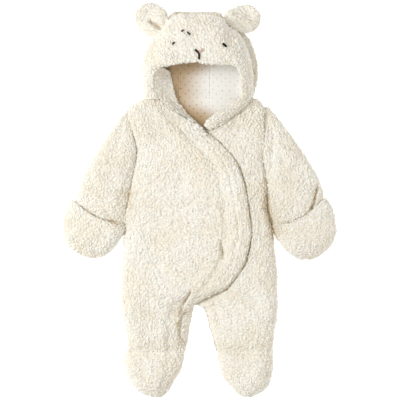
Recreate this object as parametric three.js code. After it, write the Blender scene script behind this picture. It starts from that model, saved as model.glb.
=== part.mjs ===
import * as THREE from "three";

// A baby's padded fleece suit with a hood, laid flat on its back.
// Sizes are in mm. X runs to the wearer's left, Y towards the hood, Z up from the surface it lies on.
// Left and right are the wearer's.

// The tables below read the suit's outline in photograph units, turned to mm by its real length.
const suitLength = 676;
const photoLength = 397.5;
const unit = suitLength / photoLength;
const photoMiddleX = 199.1;
const photoMiddleY = 199.4;
const toX = (u) => (u - photoMiddleX) * unit;
const toY = (v) => (photoMiddleY - v) * unit;

// Cloth: curly pile outside, wadding and lining inside.
const seamGap = 0.3;
const backCloth = 15;
const frontCloth = 17;
const underCloth = 11;
const hiddenEdge = 1.6;
const seamCloth = 6;
const sleeveCloth = 13;
const hoodCloth = 12;
const liningCloth = 1.5;

// Heights of the body's layers and how far in from the outline they round off.
const backLift = 7;
const backSeam = 13;
const sideRoll = 32;
const footRise = 6;

// The wrap's raised edge band, and the grooves sewn beside it.
const bandRise = 3;
const bandGroove = 4;
const wrapRounding = 5;

// The hood.
const hoodSeam = 21;
const hoodLift = 15;
const hoodSeamShelf = 9;
const hoodRoll = 34;
const foreheadRoll = 46;
const hoodSideWall = 8;
const facingCloth = 9;

// Ears.
const earLayer = 9;
const earEdge = 3;
const earBaseHeight = 19;
const earTipHeight = 9;

// One row for each level from the shoulders to the toes, down the picture.
// side: right-hand outline. under: hidden edge of the under front. wrap: edge of the wrap, then inside of the right leg.
// gap: just past the wrap, then inside of the left leg. far: left-hand outline.
const levels = [
  { y: 99, side: 143, under: 150, wrap: 159, gap: 252.6, far: 258 },
  { y: 104, side: 134.5, under: 152, wrap: 166, gap: 248.4, far: 262 },
  { y: 110, side: 128.3, under: 156, wrap: 174, gap: 243.4, far: 263 },
  { y: 116, side: 128.6, under: 160, wrap: 182, gap: 237.2, far: 263 },
  { y: 121, side: 129.6, under: 165, wrap: 190, gap: 230, far: 263 },
  { y: 125, side: 130.4, under: 170, wrap: 197, gap: 224.4, far: 262.8 },
  { y: 128, side: 131.2, under: 174, wrap: 201.5, gap: 219.6, far: 262.7 },
  { y: 131.5, side: 132.2, under: 177, wrap: 204.2, gap: 211, far: 262.6 },
  { y: 136.5, side: 133.5, under: 181, wrap: 210.5, gap: 215.5, far: 262.5 },
  { y: 141, side: 134.4, under: 187, wrap: 217.5, gap: 222.5, far: 262.4 },
  { y: 148, side: 135.5, under: 194, wrap: 224.5, gap: 229.5, far: 262.2 },
  { y: 158, side: 136, under: 203, wrap: 232.9, gap: 238, far: 262 },
  { y: 168, side: 134.2, under: 209, wrap: 238.6, gap: 243.6, far: 262.8 },
  { y: 180, side: 132.4, under: 213, wrap: 242.9, gap: 247.6, far: 264.8 },
  { y: 194, side: 129.9, under: 216, wrap: 245.8, gap: 250.3, far: 265 },
  { y: 208, side: 127.4, under: 218, wrap: 247.9, gap: 252.3, far: 265.6 },
  { y: 218, side: 125.9, under: 219, wrap: 249, gap: 253.3, far: 267.2 },
  { y: 228, side: 124.8, under: 220, wrap: 250.5, gap: 255, far: 270.3 },
  { y: 237, side: 124, under: 220, wrap: 250.4, gap: 255, far: 273.2 },
  { y: 247, side: 123.8, under: 218, wrap: 248.4, gap: 253.2, far: 273.8 },
  { y: 257, side: 123.4, under: 216, wrap: 246.6, gap: 251.5, far: 274.8 },
  { y: 267, side: 122, under: 212, wrap: 242.4, gap: 247.3, far: 276.2 },
  { y: 277, side: 121, under: 205, wrap: 235.3, gap: 240.5, far: 277 },
  { y: 288, side: 121, under: 197, wrap: 226.6, gap: 232, far: 277 },
  { y: 293.5, side: 120.6, under: 188, wrap: 217.3, gap: 222.5, far: 277 },
  { y: 298, side: 120.2, under: 179, wrap: 207.5, gap: 213, far: 277.2 },
  { y: 304.3, side: 121, under: 169, wrap: 195.7, gap: 200.3, far: 277.7 },
  { y: 309, side: 121.2, under: 166, wrap: 193.6, gap: 205, far: 277.5 },
  { y: 318, side: 122.6, under: 163, wrap: 191.6, gap: 208.4, far: 276.6 },
  { y: 328, side: 125.2, under: 162, wrap: 189.6, gap: 210.8, far: 274.8 },
  { y: 340, side: 127.2, under: 162, wrap: 188, gap: 214.6, far: 273.3 },
  { y: 350.8, side: 126.2, under: 162, wrap: 184.9, gap: 217, far: 272.9 },
  { y: 351, side: 126.1, under: 162, wrap: 184.8, gap: 217, far: 272.9 },
  { y: 360, side: 123.6, under: 162, wrap: 183.2, gap: 218, far: 273.2 },
  { y: 370, side: 125, under: 161, wrap: 180.6, gap: 220.4, far: 273 },
  { y: 378, side: 127.2, under: 159, wrap: 175.8, gap: 224, far: 271 },
  { y: 385, side: 132.2, under: 157, wrap: 172, gap: 230, far: 269 },
  { y: 391, side: 138, under: 156, wrap: 168.6, gap: 235.6, far: 262.6 },
  { y: 395, side: 146.4, under: 156, wrap: 165, gap: 239.4, far: 257 },
  { y: 397.2, side: 152.5, under: 157, wrap: 161.5, gap: 245.5, far: 251.5 },
];
const neckEnd = 7;
const crotch = 26;
const rolledSeamStart = 27;
const ankle = 31;
const footStart = 32;
const toe = levels.length - 1;

// How the columns share out each stretch of a level.
const sideShares = [0, 0.04, 0.14, 0.32, 0.62, 1];
const bandShares = [0, 0.3, 0.5, 0.58, 0.66, 0.84, 0.95, 1];
const farShares = [0, 0.12, 0.3, 0.5, 0.7, 0.86, 0.95, 0.987, 1];
const underColumn = sideShares.length - 1;
const wrapColumn = underColumn + bandShares.length - 1;
const creaseColumn = underColumn + 3;
const gapColumn = wrapColumn + 1;
const lastColumn = gapColumn + farShares.length - 1;

const clamp = (v, low, high) => Math.min(high, Math.max(low, v));
const mix = (a, b, t) => a + (b - a) * t;
const smooth = (t) => {
  const s = clamp(t, 0, 1);
  return s * s * (3 - 2 * s);
};
// A quarter round: 0 at the edge, 1 from the given distance on.
const round = (distance, reach) => {
  const t = 1 - clamp(distance / reach, 0, 1);
  return Math.sqrt(1 - t * t);
};
const bell = (distance, width) => Math.exp(-((distance / width) ** 2));

// Distance from a point to the line between two ends, all in mm.
function toSegment(x, y, line) {
  const ax = toX(line.fromX);
  const ay = toY(line.fromY);
  const dx = toX(line.toX) - ax;
  const dy = toY(line.toY) - ay;
  const t = clamp(((x - ax) * dx + (y - ay) * dy) / (dx * dx + dy * dy), 0, 1);
  return Math.hypot(x - ax - dx * t, y - ay - dy * t);
}
const troughs = (x, y, lines) => {
  return lines.reduce((sum, line) => sum + line.depth * bell(toSegment(x, y, line), line.width), 0);
};

// Rows of a table with the given number of steps between each two, eased through all of them.
function refine(rows, steps) {
  const out = [];
  rows.forEach((row, i) => {
    if (i === rows.length - 1) {
      out.push(row);
      return;
    }
    const before = rows[Math.max(i - 1, 0)];
    const next = rows[i + 1];
    const after = rows[Math.min(i + 2, rows.length - 1)];
    for (let k = 0; k < steps; k += 1) {
      const t = k / steps;
      const made = {};
      Object.keys(row).forEach((key) => {
        const slopeIn = (next[key] - before[key]) / 2;
        const slopeOut = (after[key] - row[key]) / 2;
        const lift = slopeIn * (t - 2 * t * t + t ** 3) + slopeOut * (t ** 3 - t * t);
        made[key] = mix(row[key], next[key], 3 * t * t - 2 * t ** 3) + lift;
      });
      out.push(made);
    }
  });
  return out;
}

const suit = new THREE.Group();
suit.name = "baby_snowsuit";
const fleece = 0xf1ece0;
const jersey = 0xe6dccb;

// Turns a list of points and triangles into a named mesh whose faces look outwards.
function addMesh(name, colour, points, triangles) {
  let volume = 0;
  const cross = new THREE.Vector3();
  triangles.forEach(([a, b, c]) => {
    volume += points[a].dot(cross.copy(points[b]).cross(points[c]));
  });
  const order = volume < 0 ? triangles.map(([a, b, c]) => [a, c, b]) : triangles;
  const geometry = new THREE.BufferGeometry();
  geometry.setFromPoints(points);
  geometry.setIndex(order.flat());
  geometry.computeVertexNormals();
  const mesh = new THREE.Mesh(geometry, new THREE.MeshStandardMaterial({ color: colour, roughness: 1 }));
  mesh.name = name;
  suit.add(mesh);
  return mesh;
}

// A sheet made of the cells of a grid that has() allows, with the cloth's two faces at top() and bottom().
function addSheet(name, colour, rows, columns, has, top, bottom) {
  const points = [];
  const found = new Map();
  const triangles = [];
  const at = (i, j, face) => {
    const key = face + ":" + i + ":" + j;
    if (!found.has(key)) {
      found.set(key, points.length);
      points.push(face === "top" ? top(i, j) : bottom(i, j));
    }
    return found.get(key);
  };
  const inside = (i, j) => i >= 0 && j >= 0 && i < rows && j < columns && has(i, j);
  const wall = (p, q) => {
    triangles.push([at(...q, "top"), at(...p, "top"), at(...p, "bottom")]);
    triangles.push([at(...q, "top"), at(...p, "bottom"), at(...q, "bottom")]);
  };
  for (let i = 0; i < rows; i += 1) {
    for (let j = 0; j < columns; j += 1) {
      if (!inside(i, j)) continue;
      const a = [i, j];
      const b = [i, j + 1];
      const c = [i + 1, j + 1];
      const d = [i + 1, j];
      triangles.push([at(...a, "top"), at(...b, "top"), at(...c, "top")]);
      triangles.push([at(...a, "top"), at(...c, "top"), at(...d, "top")]);
      triangles.push([at(...a, "bottom"), at(...c, "bottom"), at(...b, "bottom")]);
      triangles.push([at(...a, "bottom"), at(...d, "bottom"), at(...c, "bottom")]);
      if (!inside(i - 1, j)) wall(a, b);
      if (!inside(i, j + 1)) wall(b, c);
      if (!inside(i + 1, j)) wall(c, d);
      if (!inside(i, j - 1)) wall(d, a);
    }
  }
  return addMesh(name, colour, points, triangles);
}

// Where a level and a column cross, and how far that is from the outline.
function place(i, j) {
  const row = levels[i];
  let u;
  if (j <= underColumn) u = mix(row.side, row.under, sideShares[j]);
  else if (j <= wrapColumn) u = mix(row.under, row.wrap, bandShares[j - underColumn]);
  else u = mix(row.gap, row.far, farShares[j - gapColumn]);
  return { u, v: row.y, x: toX(u), y: toY(row.y) };
}
// 0 at the outline, 1 well inside it. It counts the inside of the legs from just above the crotch on.
function fullness(i, j) {
  const row = levels[i];
  const { u, v } = place(i, j);
  const across = round(Math.min(u - row.side, row.far - u) * unit, sideRoll);
  const inLeg = j <= wrapColumn ? Math.min(u - row.side, row.wrap - u) : Math.min(row.far - u, u - row.gap);
  const legness = smooth((v - 284) / (levels[crotch].y - 284));
  const toToe = i >= footStart ? (levels[toe].y - v) * unit + 3 : sideRoll;
  return mix(across, round(inLeg * unit, sideRoll * 0.8), legness) * round(toToe, sideRoll);
}
// The seam round the ankle draws every layer in.
const ankleDip = (v) => bell((v - levels[ankle].y) * unit, 8);
// The foot stands a little higher than the leg.
const footLift = (i, j) => footRise * smooth(((levels[i].y - levels[ankle].y) * unit) / 24) * fullness(i, j);

// Heights of the layers' faces, from the surface up.
const backBottom = (i, j) => (1 - fullness(i, j)) * backLift;
function backTop(i, j) {
  const flat = mix(backSeam, backCloth, fullness(i, j)) - ankleDip(levels[i].y);
  if (i < rolledSeamStart || i > ankle || j <= creaseColumn || j > wrapColumn) return flat;
  const across = (j - creaseColumn) / (wrapColumn - creaseColumn);
  const along = smooth((i - rolledSeamStart) / 1.5);
  return flat + 11 * Math.sin(Math.PI * across) * along;
}
function underTop(i, j) {
  const { x } = place(i, j);
  const row = levels[i];
  const full = fullness(i, j);
  const base = backTop(i, j) + seamGap;
  const beyondWrap = smooth((x - toX(row.wrap)) / 26);
  let cloth = mix(underCloth, frontCloth, i >= crotch || i < neckEnd ? 1 : beyondWrap);
  if (j <= wrapColumn) cloth = mix(hiddenEdge, underCloth, smooth((x - toX(row.under)) / 34));
  const toCrotch = i <= crotch && j <= wrapColumn ? smooth(((levels[crotch].y - row.y) * unit) / 24) : 1;
  const thin = j <= wrapColumn ? hiddenEdge : seamCloth;
  const rolled = mix(thin, cloth, full * toCrotch);
  return base + rolled + footLift(i, j) - 4 * ankleDip(row.y) * full - troughs(x, toY(row.y), frontCreases);
}
function wrapBottom(i, j) {
  const overUnder = i >= neckEnd && i <= crotch && j >= underColumn && j <= wrapColumn;
  return (overUnder ? underTop(i, j) : backTop(i, j)) + seamGap;
}
function wrapTop(i, j) {
  const { x } = place(i, j);
  const row = levels[i];
  const full = fullness(i, j);
  const toEdge = toX(row.wrap) - x;
  const cloth = mix(frontCloth, frontCloth - 3, j > underColumn ? 1 : 0);
  let height = mix(seamCloth, cloth, full);
  if (i <= crotch) {
    const along = smooth((row.y - 140) / 24) * smooth((290 - row.y) / 30);
    height += bandRise * along * smooth((24 - toEdge) / 6);
    height -= bandGroove * along * bell(toEdge - 22, 4);
    height -= wrapRounding * (1 - round(toEdge, 6));
  }
  if (i >= rolledSeamStart && i <= ankle && j === creaseColumn) height = 7;
  return wrapBottom(i, j) + height + footLift(i, j) - 4 * ankleDip(row.y) * full - troughs(x, toY(row.y), frontCreases);
}

// Soft creases in the fronts and legs, each from one end to the other.
const frontCreases = [
  { fromX: 220.7, fromY: 241, toX: 223, toY: 258, depth: 2, width: 5 },
  { fromX: 215, fromY: 307, toX: 219, toY: 323, depth: 2.5, width: 7 },
  { fromX: 233, fromY: 350, toX: 262, toY: 349, depth: 1.5, width: 6 },
  { fromX: 150, fromY: 118, toX: 160, toY: 140, depth: 2, width: 12 },
  { fromX: 140, fromY: 300, toX: 160, toY: 318, depth: 1.5, width: 10 },
];

const pointAt = (i, j, z) => {
  const { x, y } = place(i, j);
  return new THREE.Vector3(x, y, z);
};
const bodyRows = levels.length - 1;

function addBodySheet(name, has, top, bottom) {
  return addSheet(name, fleece, bodyRows, lastColumn, has, (i, j) => pointAt(i, j, top(i, j)), (i, j) => {
    return pointAt(i, j, bottom(i, j));
  });
}

const backCell = (i, j) => i < ankle && (j !== wrapColumn || i < crotch);
const wrapCell = (i, j) => i < ankle && j < wrapColumn && (i < rolledSeamStart || j < creaseColumn);
const underCell = (i, j) => i < ankle && ((j >= gapColumn) || (i >= neckEnd && i < crotch && j >= underColumn));
addBodySheet("back", backCell, backTop, backBottom);
addBodySheet("front_right_wrap", wrapCell, wrapTop, wrapBottom);
addBodySheet("front_left_under", underCell, underTop, (i, j) => backTop(i, j) + seamGap);

const rightFoot = (i, j) => i >= footStart && j < wrapColumn;
const leftFoot = (i, j) => i >= footStart && j >= gapColumn;
addBodySheet("foot_sole_right", rightFoot, backTop, backBottom);
addBodySheet("foot_sole_left", leftFoot, backTop, backBottom);
addBodySheet("foot_upper_right", rightFoot, wrapTop, (i, j) => backTop(i, j) + seamGap);
addBodySheet("foot_upper_left", leftFoot, underTop, (i, j) => backTop(i, j) + seamGap);

// The lining of the back neck, on the back between the two sides of the neckline.
const neckLiningEnd = 6;
addSheet(
  "neck_lining",
  jersey,
  bodyRows,
  lastColumn,
  (i, j) => i < neckLiningEnd && j === wrapColumn,
  (i, j) => pointAt(i, j, backTop(i, j) + seamGap + liningCloth),
  (i, j) => pointAt(i, j, backTop(i, j) + seamGap),
);

// Sleeves and mitts are flattened tubes. Each section runs from the outer side to the side near the body.
// high: top of the tube. low: how far its underside stands off the surface. bow: how far its middle is pushed down.
// cloth: thickness of the wall, thin where the sleeve goes into the mitt.
const rightSleeve = [
  { outX: 124.5, outY: 112.6, inX: 127.6, inY: 113.6, high: 23, low: 8, bow: 0, cloth: sleeveCloth },
  { outX: 114.5, outY: 125, inX: 130.2, inY: 126, high: 27, low: 3, bow: 0, cloth: sleeveCloth },
  { outX: 105.5, outY: 138, inX: 133.2, inY: 138.5, high: 31, low: 0, bow: 0, cloth: sleeveCloth },
  { outX: 98.6, outY: 150, inX: 135.2, inY: 151, high: 33, low: 0, bow: 0, cloth: sleeveCloth },
  { outX: 90.6, outY: 161.5, inX: 134.6, inY: 163, high: 34, low: 0, bow: 0, cloth: sleeveCloth },
  { outX: 84.4, outY: 172, inX: 132.8, inY: 175, high: 34, low: 0, bow: 0, cloth: sleeveCloth },
  { outX: 79.6, outY: 184, inX: 130.6, inY: 187, high: 33, low: 0, bow: 1, cloth: sleeveCloth },
  { outX: 77, outY: 192, inX: 128.6, inY: 198.5, high: 32, low: 0, bow: 3, cloth: sleeveCloth },
  { outX: 75.4, outY: 197.5, inX: 126.6, inY: 209, high: 30, low: 2, bow: 5, cloth: sleeveCloth },
  { outX: 74.8, outY: 203.6, inX: 120.4, inY: 221, high: 25, low: 7, bow: 6, cloth: sleeveCloth },
  { outX: 75.6, outY: 212, inX: 117, inY: 229, high: 22, low: 8, bow: 5, cloth: sleeveCloth },
];
const leftSleeve = [
  { outX: 268.5, outY: 107, inX: 263.1, inY: 107.6, high: 22, low: 8, bow: 0, cloth: sleeveCloth },
  { outX: 277, outY: 117.2, inX: 263.4, inY: 118.5, high: 26, low: 3, bow: 0, cloth: sleeveCloth },
  { outX: 285.6, outY: 128, inX: 263, inY: 131, high: 30, low: 0, bow: 0, cloth: sleeveCloth },
  { outX: 294.4, outY: 140, inX: 262.7, inY: 144, high: 33, low: 0, bow: 0, cloth: sleeveCloth },
  { outX: 303, outY: 152.4, inX: 262.5, inY: 157, high: 34, low: 0, bow: 0, cloth: sleeveCloth },
  { outX: 311, outY: 165.4, inX: 263.5, inY: 169.6, high: 34, low: 0, bow: 0, cloth: sleeveCloth },
  { outX: 317.8, outY: 177, inX: 265.3, inY: 182.6, high: 33, low: 0, bow: 1, cloth: sleeveCloth },
  { outX: 322.4, outY: 188.6, inX: 265.6, inY: 196, high: 32, low: 0, bow: 3, cloth: sleeveCloth },
  { outX: 323.4, outY: 195.4, inX: 266.8, inY: 210, high: 30, low: 5, bow: 5, cloth: sleeveCloth },
  { outX: 321.8, outY: 204.4, inX: 276, inY: 226, high: 25, low: 8.8, bow: 7, cloth: sleeveCloth },
  { outX: 320.6, outY: 213, inX: 281, inY: 233, high: 22, low: 9, bow: 6, cloth: sleeveCloth },
];
const rightMitt = [
  { outX: 70.4, outY: 200.6, inX: 124.9, inY: 224.6, high: 33, low: 0, bow: 6, cloth: 6 },
  { outX: 65.4, outY: 209.6, inX: 124.4, inY: 228.6, high: 35, low: 0, bow: 5, cloth: 6.5 },
  { outX: 62.4, outY: 222.4, inX: 122.8, inY: 234, high: 36, low: 0, bow: 3, cloth: 9 },
  { outX: 62.6, outY: 235, inX: 117.6, inY: 242, high: 36, low: 0, bow: 2, cloth: 13 },
  { outX: 67.8, outY: 245, inX: 111.4, inY: 250, high: 33, low: 0, bow: 1, cloth: 13 },
  { outX: 76.6, outY: 252.6, inX: 104.4, inY: 255.4, high: 27, low: 3, bow: 0, cloth: 11 },
  { outX: 86, outY: 257.2, inX: 97, inY: 258, high: 19, low: 7, bow: 0, cloth: 7 },
];
const leftMitt = [
  { outX: 326.6, outY: 199, inX: 270.4, inY: 226, high: 33, low: 0, bow: 8, cloth: 6 },
  { outX: 332.4, outY: 208, inX: 272.8, inY: 231.4, high: 35, low: 0, bow: 6, cloth: 6.5 },
  { outX: 335.8, outY: 221.6, inX: 276.4, inY: 237, high: 36, low: 0, bow: 3, cloth: 9 },
  { outX: 335.4, outY: 234.6, inX: 281.4, inY: 243.6, high: 36, low: 0, bow: 2, cloth: 13 },
  { outX: 330, outY: 246, inX: 287, inY: 250.6, high: 33, low: 0, bow: 1, cloth: 13 },
  { outX: 321, outY: 254.6, inX: 294, inY: 256.6, high: 27, low: 3, bow: 0, cloth: 11 },
  { outX: 312, outY: 259.2, inX: 301, inY: 259.8, high: 19, low: 7, bow: 0, cloth: 7 },
];
const rightSleeveFolds = [
  { fromX: 127, fromY: 140, toX: 128, toY: 160, depth: 3, width: 6 },
  { fromX: 100, fromY: 166, toX: 116, toY: 186, depth: 2, width: 9 },
  { fromX: 112, fromY: 200, toX: 117, toY: 221, depth: 4, width: 7 },
];
const leftSleeveFolds = [
  { fromX: 273.8, fromY: 134, toX: 271, toY: 176, depth: 4, width: 6 },
  { fromX: 317.5, fromY: 187.5, toX: 312, toY: 208, depth: 6, width: 6 },
  { fromX: 286, fromY: 176, toX: 300, toY: 168, depth: 2, width: 9 },
];
const roundPoints = 20;
const squareness = 0.62;
const power = (v) => Math.sign(v) * Math.abs(v) ** squareness;

// A ring of points round one section, outside the cloth or inside it.
function ring(section, inner, folds) {
  const inset = inner ? section.cloth : 0;
  const cx = (toX(section.outX) + toX(section.inX)) / 2;
  const cy = (toY(section.outY) + toY(section.inY)) / 2;
  const dx = (toX(section.inX) - toX(section.outX)) / 2;
  const dy = (toY(section.inY) - toY(section.outY)) / 2;
  const half = Math.hypot(dx, dy);
  const share = Math.max(half - inset, half * 0.3) / half;
  const middle = mix(section.low, section.high, 0.45);
  const up = section.high - middle;
  const down = middle - section.low;
  const points = [];
  for (let k = 0; k < roundPoints; k += 1) {
    const angle = (2 * Math.PI * k) / roundPoints;
    const c = power(Math.cos(angle));
    const s = power(Math.sin(angle));
    const x = cx + dx * share * c;
    const y = cy + dy * share * c - section.bow * unit * (1 - c * c);
    const top = Math.max(up - inset, up * 0.25);
    const base = Math.max(down * (inner ? 1 : 1.12) - inset, down * 0.25);
    let z = middle + (s > 0 ? top : base) * s;
    if (!inner && s > 0.2) z -= troughs(x, y, folds) * s;
    points.push(new THREE.Vector3(x, y, Math.max(z, inner ? 0 : section.low, 0)));
  }
  return points;
}

// A tube open at both ends, or a cup closed at its last section.
function addTube(name, table, steps, folds, closed) {
  const sections = refine(table, steps);
  const points = [];
  const triangles = [];
  const start = { outer: [], inner: [] };
  const innerCount = closed ? sections.length - steps : sections.length;
  sections.forEach((section) => {
    start.outer.push(points.length);
    points.push(...ring(section, false, folds));
  });
  sections.slice(0, innerCount).forEach((section) => {
    start.inner.push(points.length);
    points.push(...ring(section, true, folds));
  });
  const band = (a, b) => {
    for (let k = 0; k < roundPoints; k += 1) {
      const n = (k + 1) % roundPoints;
      triangles.push([a + k, a + n, b + n]);
      triangles.push([a + k, b + n, b + k]);
    }
  };
  const lid = (a, turned) => {
    const centre = new THREE.Vector3();
    for (let k = 0; k < roundPoints; k += 1) centre.add(points[a + k]);
    const c = points.push(centre.divideScalar(roundPoints)) - 1;
    for (let k = 0; k < roundPoints; k += 1) {
      const n = (k + 1) % roundPoints;
      triangles.push(turned ? [a + n, a + k, c] : [a + k, a + n, c]);
    }
  };
  for (let i = 0; i + 1 < start.outer.length; i += 1) band(start.outer[i], start.outer[i + 1]);
  for (let i = 0; i + 1 < start.inner.length; i += 1) band(start.inner[i + 1], start.inner[i]);
  band(start.inner[0], start.outer[0]);
  const lastOuter = start.outer[start.outer.length - 1];
  const lastInner = start.inner[start.inner.length - 1];
  if (closed) {
    lid(lastOuter, false);
    lid(lastInner, true);
  } else {
    band(lastOuter, lastInner);
  }
  return addMesh(name, fleece, points, triangles);
}
addTube("sleeve_right", rightSleeve, 2, rightSleeveFolds, false);
addTube("sleeve_left", leftSleeve, 2, leftSleeveFolds, false);
addTube("mitt_right", rightMitt, 2, [], true);
addTube("mitt_left", leftMitt, 2, leftSleeveFolds.slice(1, 2), true);

// The hood's back lies on the surface and turns up at its edges. left and right: its outline at each level.
const hoodBackRows = [
  { y: 11.5, left: 180, right: 214 },
  { y: 13, left: 172, right: 221 },
  { y: 16.5, left: 169.5, right: 223 },
  { y: 21, left: 168, right: 225.4 },
  { y: 27, left: 163.6, right: 233 },
  { y: 32, left: 157.6, right: 241.6 },
  { y: 38, left: 151.8, right: 248.6 },
  { y: 47, left: 146, right: 252.4 },
  { y: 57, left: 141.8, right: 255.8 },
  { y: 68, left: 140, right: 257.4 },
  { y: 79, left: 141.8, right: 257.2 },
  { y: 90, left: 144, right: 255.2 },
  { y: 98.8, left: 145.4, right: 252.8 },
];
const liningSeams = { first: 178.5, second: 210 };
const hoodShares = [0, 0.05, 0.14, 0.25, 0.5, 1];
const middleShares = [0, 0.5, 1];
const hoodEnd = hoodShares.length - 1;
const middleEnd = hoodEnd + middleShares.length - 1;
const hoodColumns = middleEnd + hoodEnd;
const liningStart = 6;

function hoodPlace(i, j) {
  const row = hoodBackRows[i];
  const first = clamp(liningSeams.first, mix(row.left, row.right, 0.3), row.right);
  const second = clamp(liningSeams.second, first, mix(row.left, row.right, 0.7));
  let u;
  if (j <= hoodEnd) u = mix(row.left, first, hoodShares[j]);
  else if (j <= middleEnd) u = mix(first, second, middleShares[j - hoodEnd]);
  else u = mix(row.right, second, hoodShares[hoodColumns - j]);
  const inside = Math.min(u - row.left, row.right - u, row.y - hoodBackRows[0].y + 1) * unit;
  return { x: toX(u), y: toY(row.y), inside };
}
const hoodBottom = (i, j) => hoodLift * (1 - round(hoodPlace(i, j).inside, hoodRoll));
const hoodTop = (i, j) => {
  return mix(hoodSeam, hoodCloth, smooth((hoodPlace(i, j).inside - hoodSeamShelf) / (hoodRoll - hoodSeamShelf)));
};
function hoodPoint(i, j, z, shift) {
  const { x, y } = hoodPlace(i, j);
  return new THREE.Vector3(x + shift, y, z);
}
addSheet(
  "hood_back",
  fleece,
  hoodBackRows.length - 1,
  hoodColumns,
  () => true,
  (i, j) => hoodPoint(i, j, hoodTop(i, j), 0),
  (i, j) => hoodPoint(i, j, hoodBottom(i, j), 0),
);

// Three lining panels on the hood's back, a seam's width apart.
const liningPanels = [
  { name: "hood_lining_right", from: 3, to: hoodEnd },
  { name: "hood_lining_center", from: hoodEnd, to: middleEnd },
  { name: "hood_lining_left", from: middleEnd, to: hoodColumns - 3 },
];
liningPanels.forEach(({ name, from, to }) => {
  const shift = (j) => (j === from ? seamGap / 2 : 0) - (j === to ? seamGap / 2 : 0);
  addSheet(
    name,
    jersey,
    hoodBackRows.length - 1,
    hoodColumns,
    (i, j) => i >= liningStart && j >= from && j < to,
    (i, j) => hoodPoint(i, j, hoodTop(i, j) + seamGap + liningCloth, shift(j)),
    (i, j) => hoodPoint(i, j, hoodTop(i, j) + seamGap, shift(j)),
  );
});

// The hood's front is an arch from the right side of the neck, over the forehead, to the tail that crosses the left front.
// out: its outer seam. mouth: the edge of the opening. high: height of that edge.
// tail: 1 where it is the rolled tail. low: the tail's underside.
const hoodFrontRows = [
  { outX: 144.2, outY: 98.5, mouthX: 158.4, mouthY: 98.4, high: 40, tail: 0, low: 21.6 },
  { outX: 144, outY: 91, mouthX: 155, mouthY: 91.5, high: 44, tail: 0, low: 21.6 },
  { outX: 142.4, outY: 81, mouthX: 153.6, mouthY: 83.5, high: 48, tail: 0, low: 21.6 },
  { outX: 140.4, outY: 69.5, mouthX: 154, mouthY: 76, high: 52, tail: 0, low: 21.6 },
  { outX: 141.8, outY: 57, mouthX: 156.8, mouthY: 71.2, high: 55, tail: 0, low: 21.6 },
  { outX: 146.4, outY: 46.5, mouthX: 161, mouthY: 68.8, high: 58, tail: 0, low: 21.6 },
  { outX: 153.2, outY: 37, mouthX: 166, mouthY: 67.4, high: 60, tail: 0, low: 21.6 },
  { outX: 161.6, outY: 29.4, mouthX: 172, mouthY: 66.4, high: 62, tail: 0, low: 21.6 },
  { outX: 168.6, outY: 19.4, mouthX: 179, mouthY: 65.2, high: 62, tail: 0, low: 21.6 },
  { outX: 179, outY: 15, mouthX: 187, mouthY: 64.2, high: 62, tail: 0, low: 21.6 },
  { outX: 190, outY: 14.4, mouthX: 195, mouthY: 63.4, high: 62, tail: 0, low: 21.6 },
  { outX: 201, outY: 14.4, mouthX: 203, mouthY: 64.6, high: 62, tail: 0, low: 21.6 },
  { outX: 212, outY: 15, mouthX: 211, mouthY: 65.6, high: 62, tail: 0, low: 21.6 },
  { outX: 221.8, outY: 18, mouthX: 219, mouthY: 65.8, high: 62, tail: 0, low: 21.6 },
  { outX: 229, outY: 26, mouthX: 227, mouthY: 66, high: 61, tail: 0, low: 21.6 },
  { outX: 237.6, outY: 31.6, mouthX: 233.4, mouthY: 67, high: 60, tail: 0, low: 21.6 },
  { outX: 243.8, outY: 42, mouthX: 237.4, mouthY: 70.4, high: 58, tail: 0, low: 21.6 },
  { outX: 249.2, outY: 55, mouthX: 240, mouthY: 76, high: 55, tail: 0, low: 21.6 },
  { outX: 252.4, outY: 69, mouthX: 241.2, mouthY: 83, high: 52, tail: 0, low: 21.6 },
  { outX: 253.4, outY: 82, mouthX: 241.4, mouthY: 90, high: 49, tail: 0, low: 21.6 },
  { outX: 252.2, outY: 94.4, mouthX: 239.4, mouthY: 97.4, high: 47, tail: 0.5, low: 21.6 },
  { outX: 247.2, outY: 103.6, mouthX: 234, mouthY: 103.2, high: 45, tail: 1, low: 20.5 },
  { outX: 240, outY: 112, mouthX: 226, mouthY: 108, high: 44, tail: 1, low: 18.4 },
  { outX: 231, outY: 118.6, mouthX: 217, mouthY: 112, high: 43, tail: 1, low: 17.6 },
  { outX: 222.4, outY: 124.2, mouthX: 210.4, mouthY: 117.4, high: 42, tail: 1, low: 17.6 },
  { outX: 214.6, outY: 128.2, mouthX: 206.4, mouthY: 122.4, high: 40, tail: 1, low: 17.6 },
  { outX: 208, outY: 129.6, mouthX: 204.8, mouthY: 126.4, high: 36, tail: 1, low: 17.6 },
];
const archShares = [0, 0.03, 0.09, 0.18, 0.3, 0.45, 0.62, 0.8, 0.94, 1];
const browCrease = [{ fromX: 178, fromY: 22, toX: 172, toY: 40, depth: 2, width: 9 }];
function archPlace(i, j) {
  const row = hoodFrontRows[i];
  const share = archShares[j];
  const width = Math.hypot(row.mouthX - row.outX, row.mouthY - row.outY) * unit;
  const x = toX(mix(row.outX, row.mouthX, share));
  const y = toY(mix(row.outY, row.mouthY, share));
  return { row, x, y, width, inside: share * width, toMouth: (1 - share) * width };
}
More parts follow.
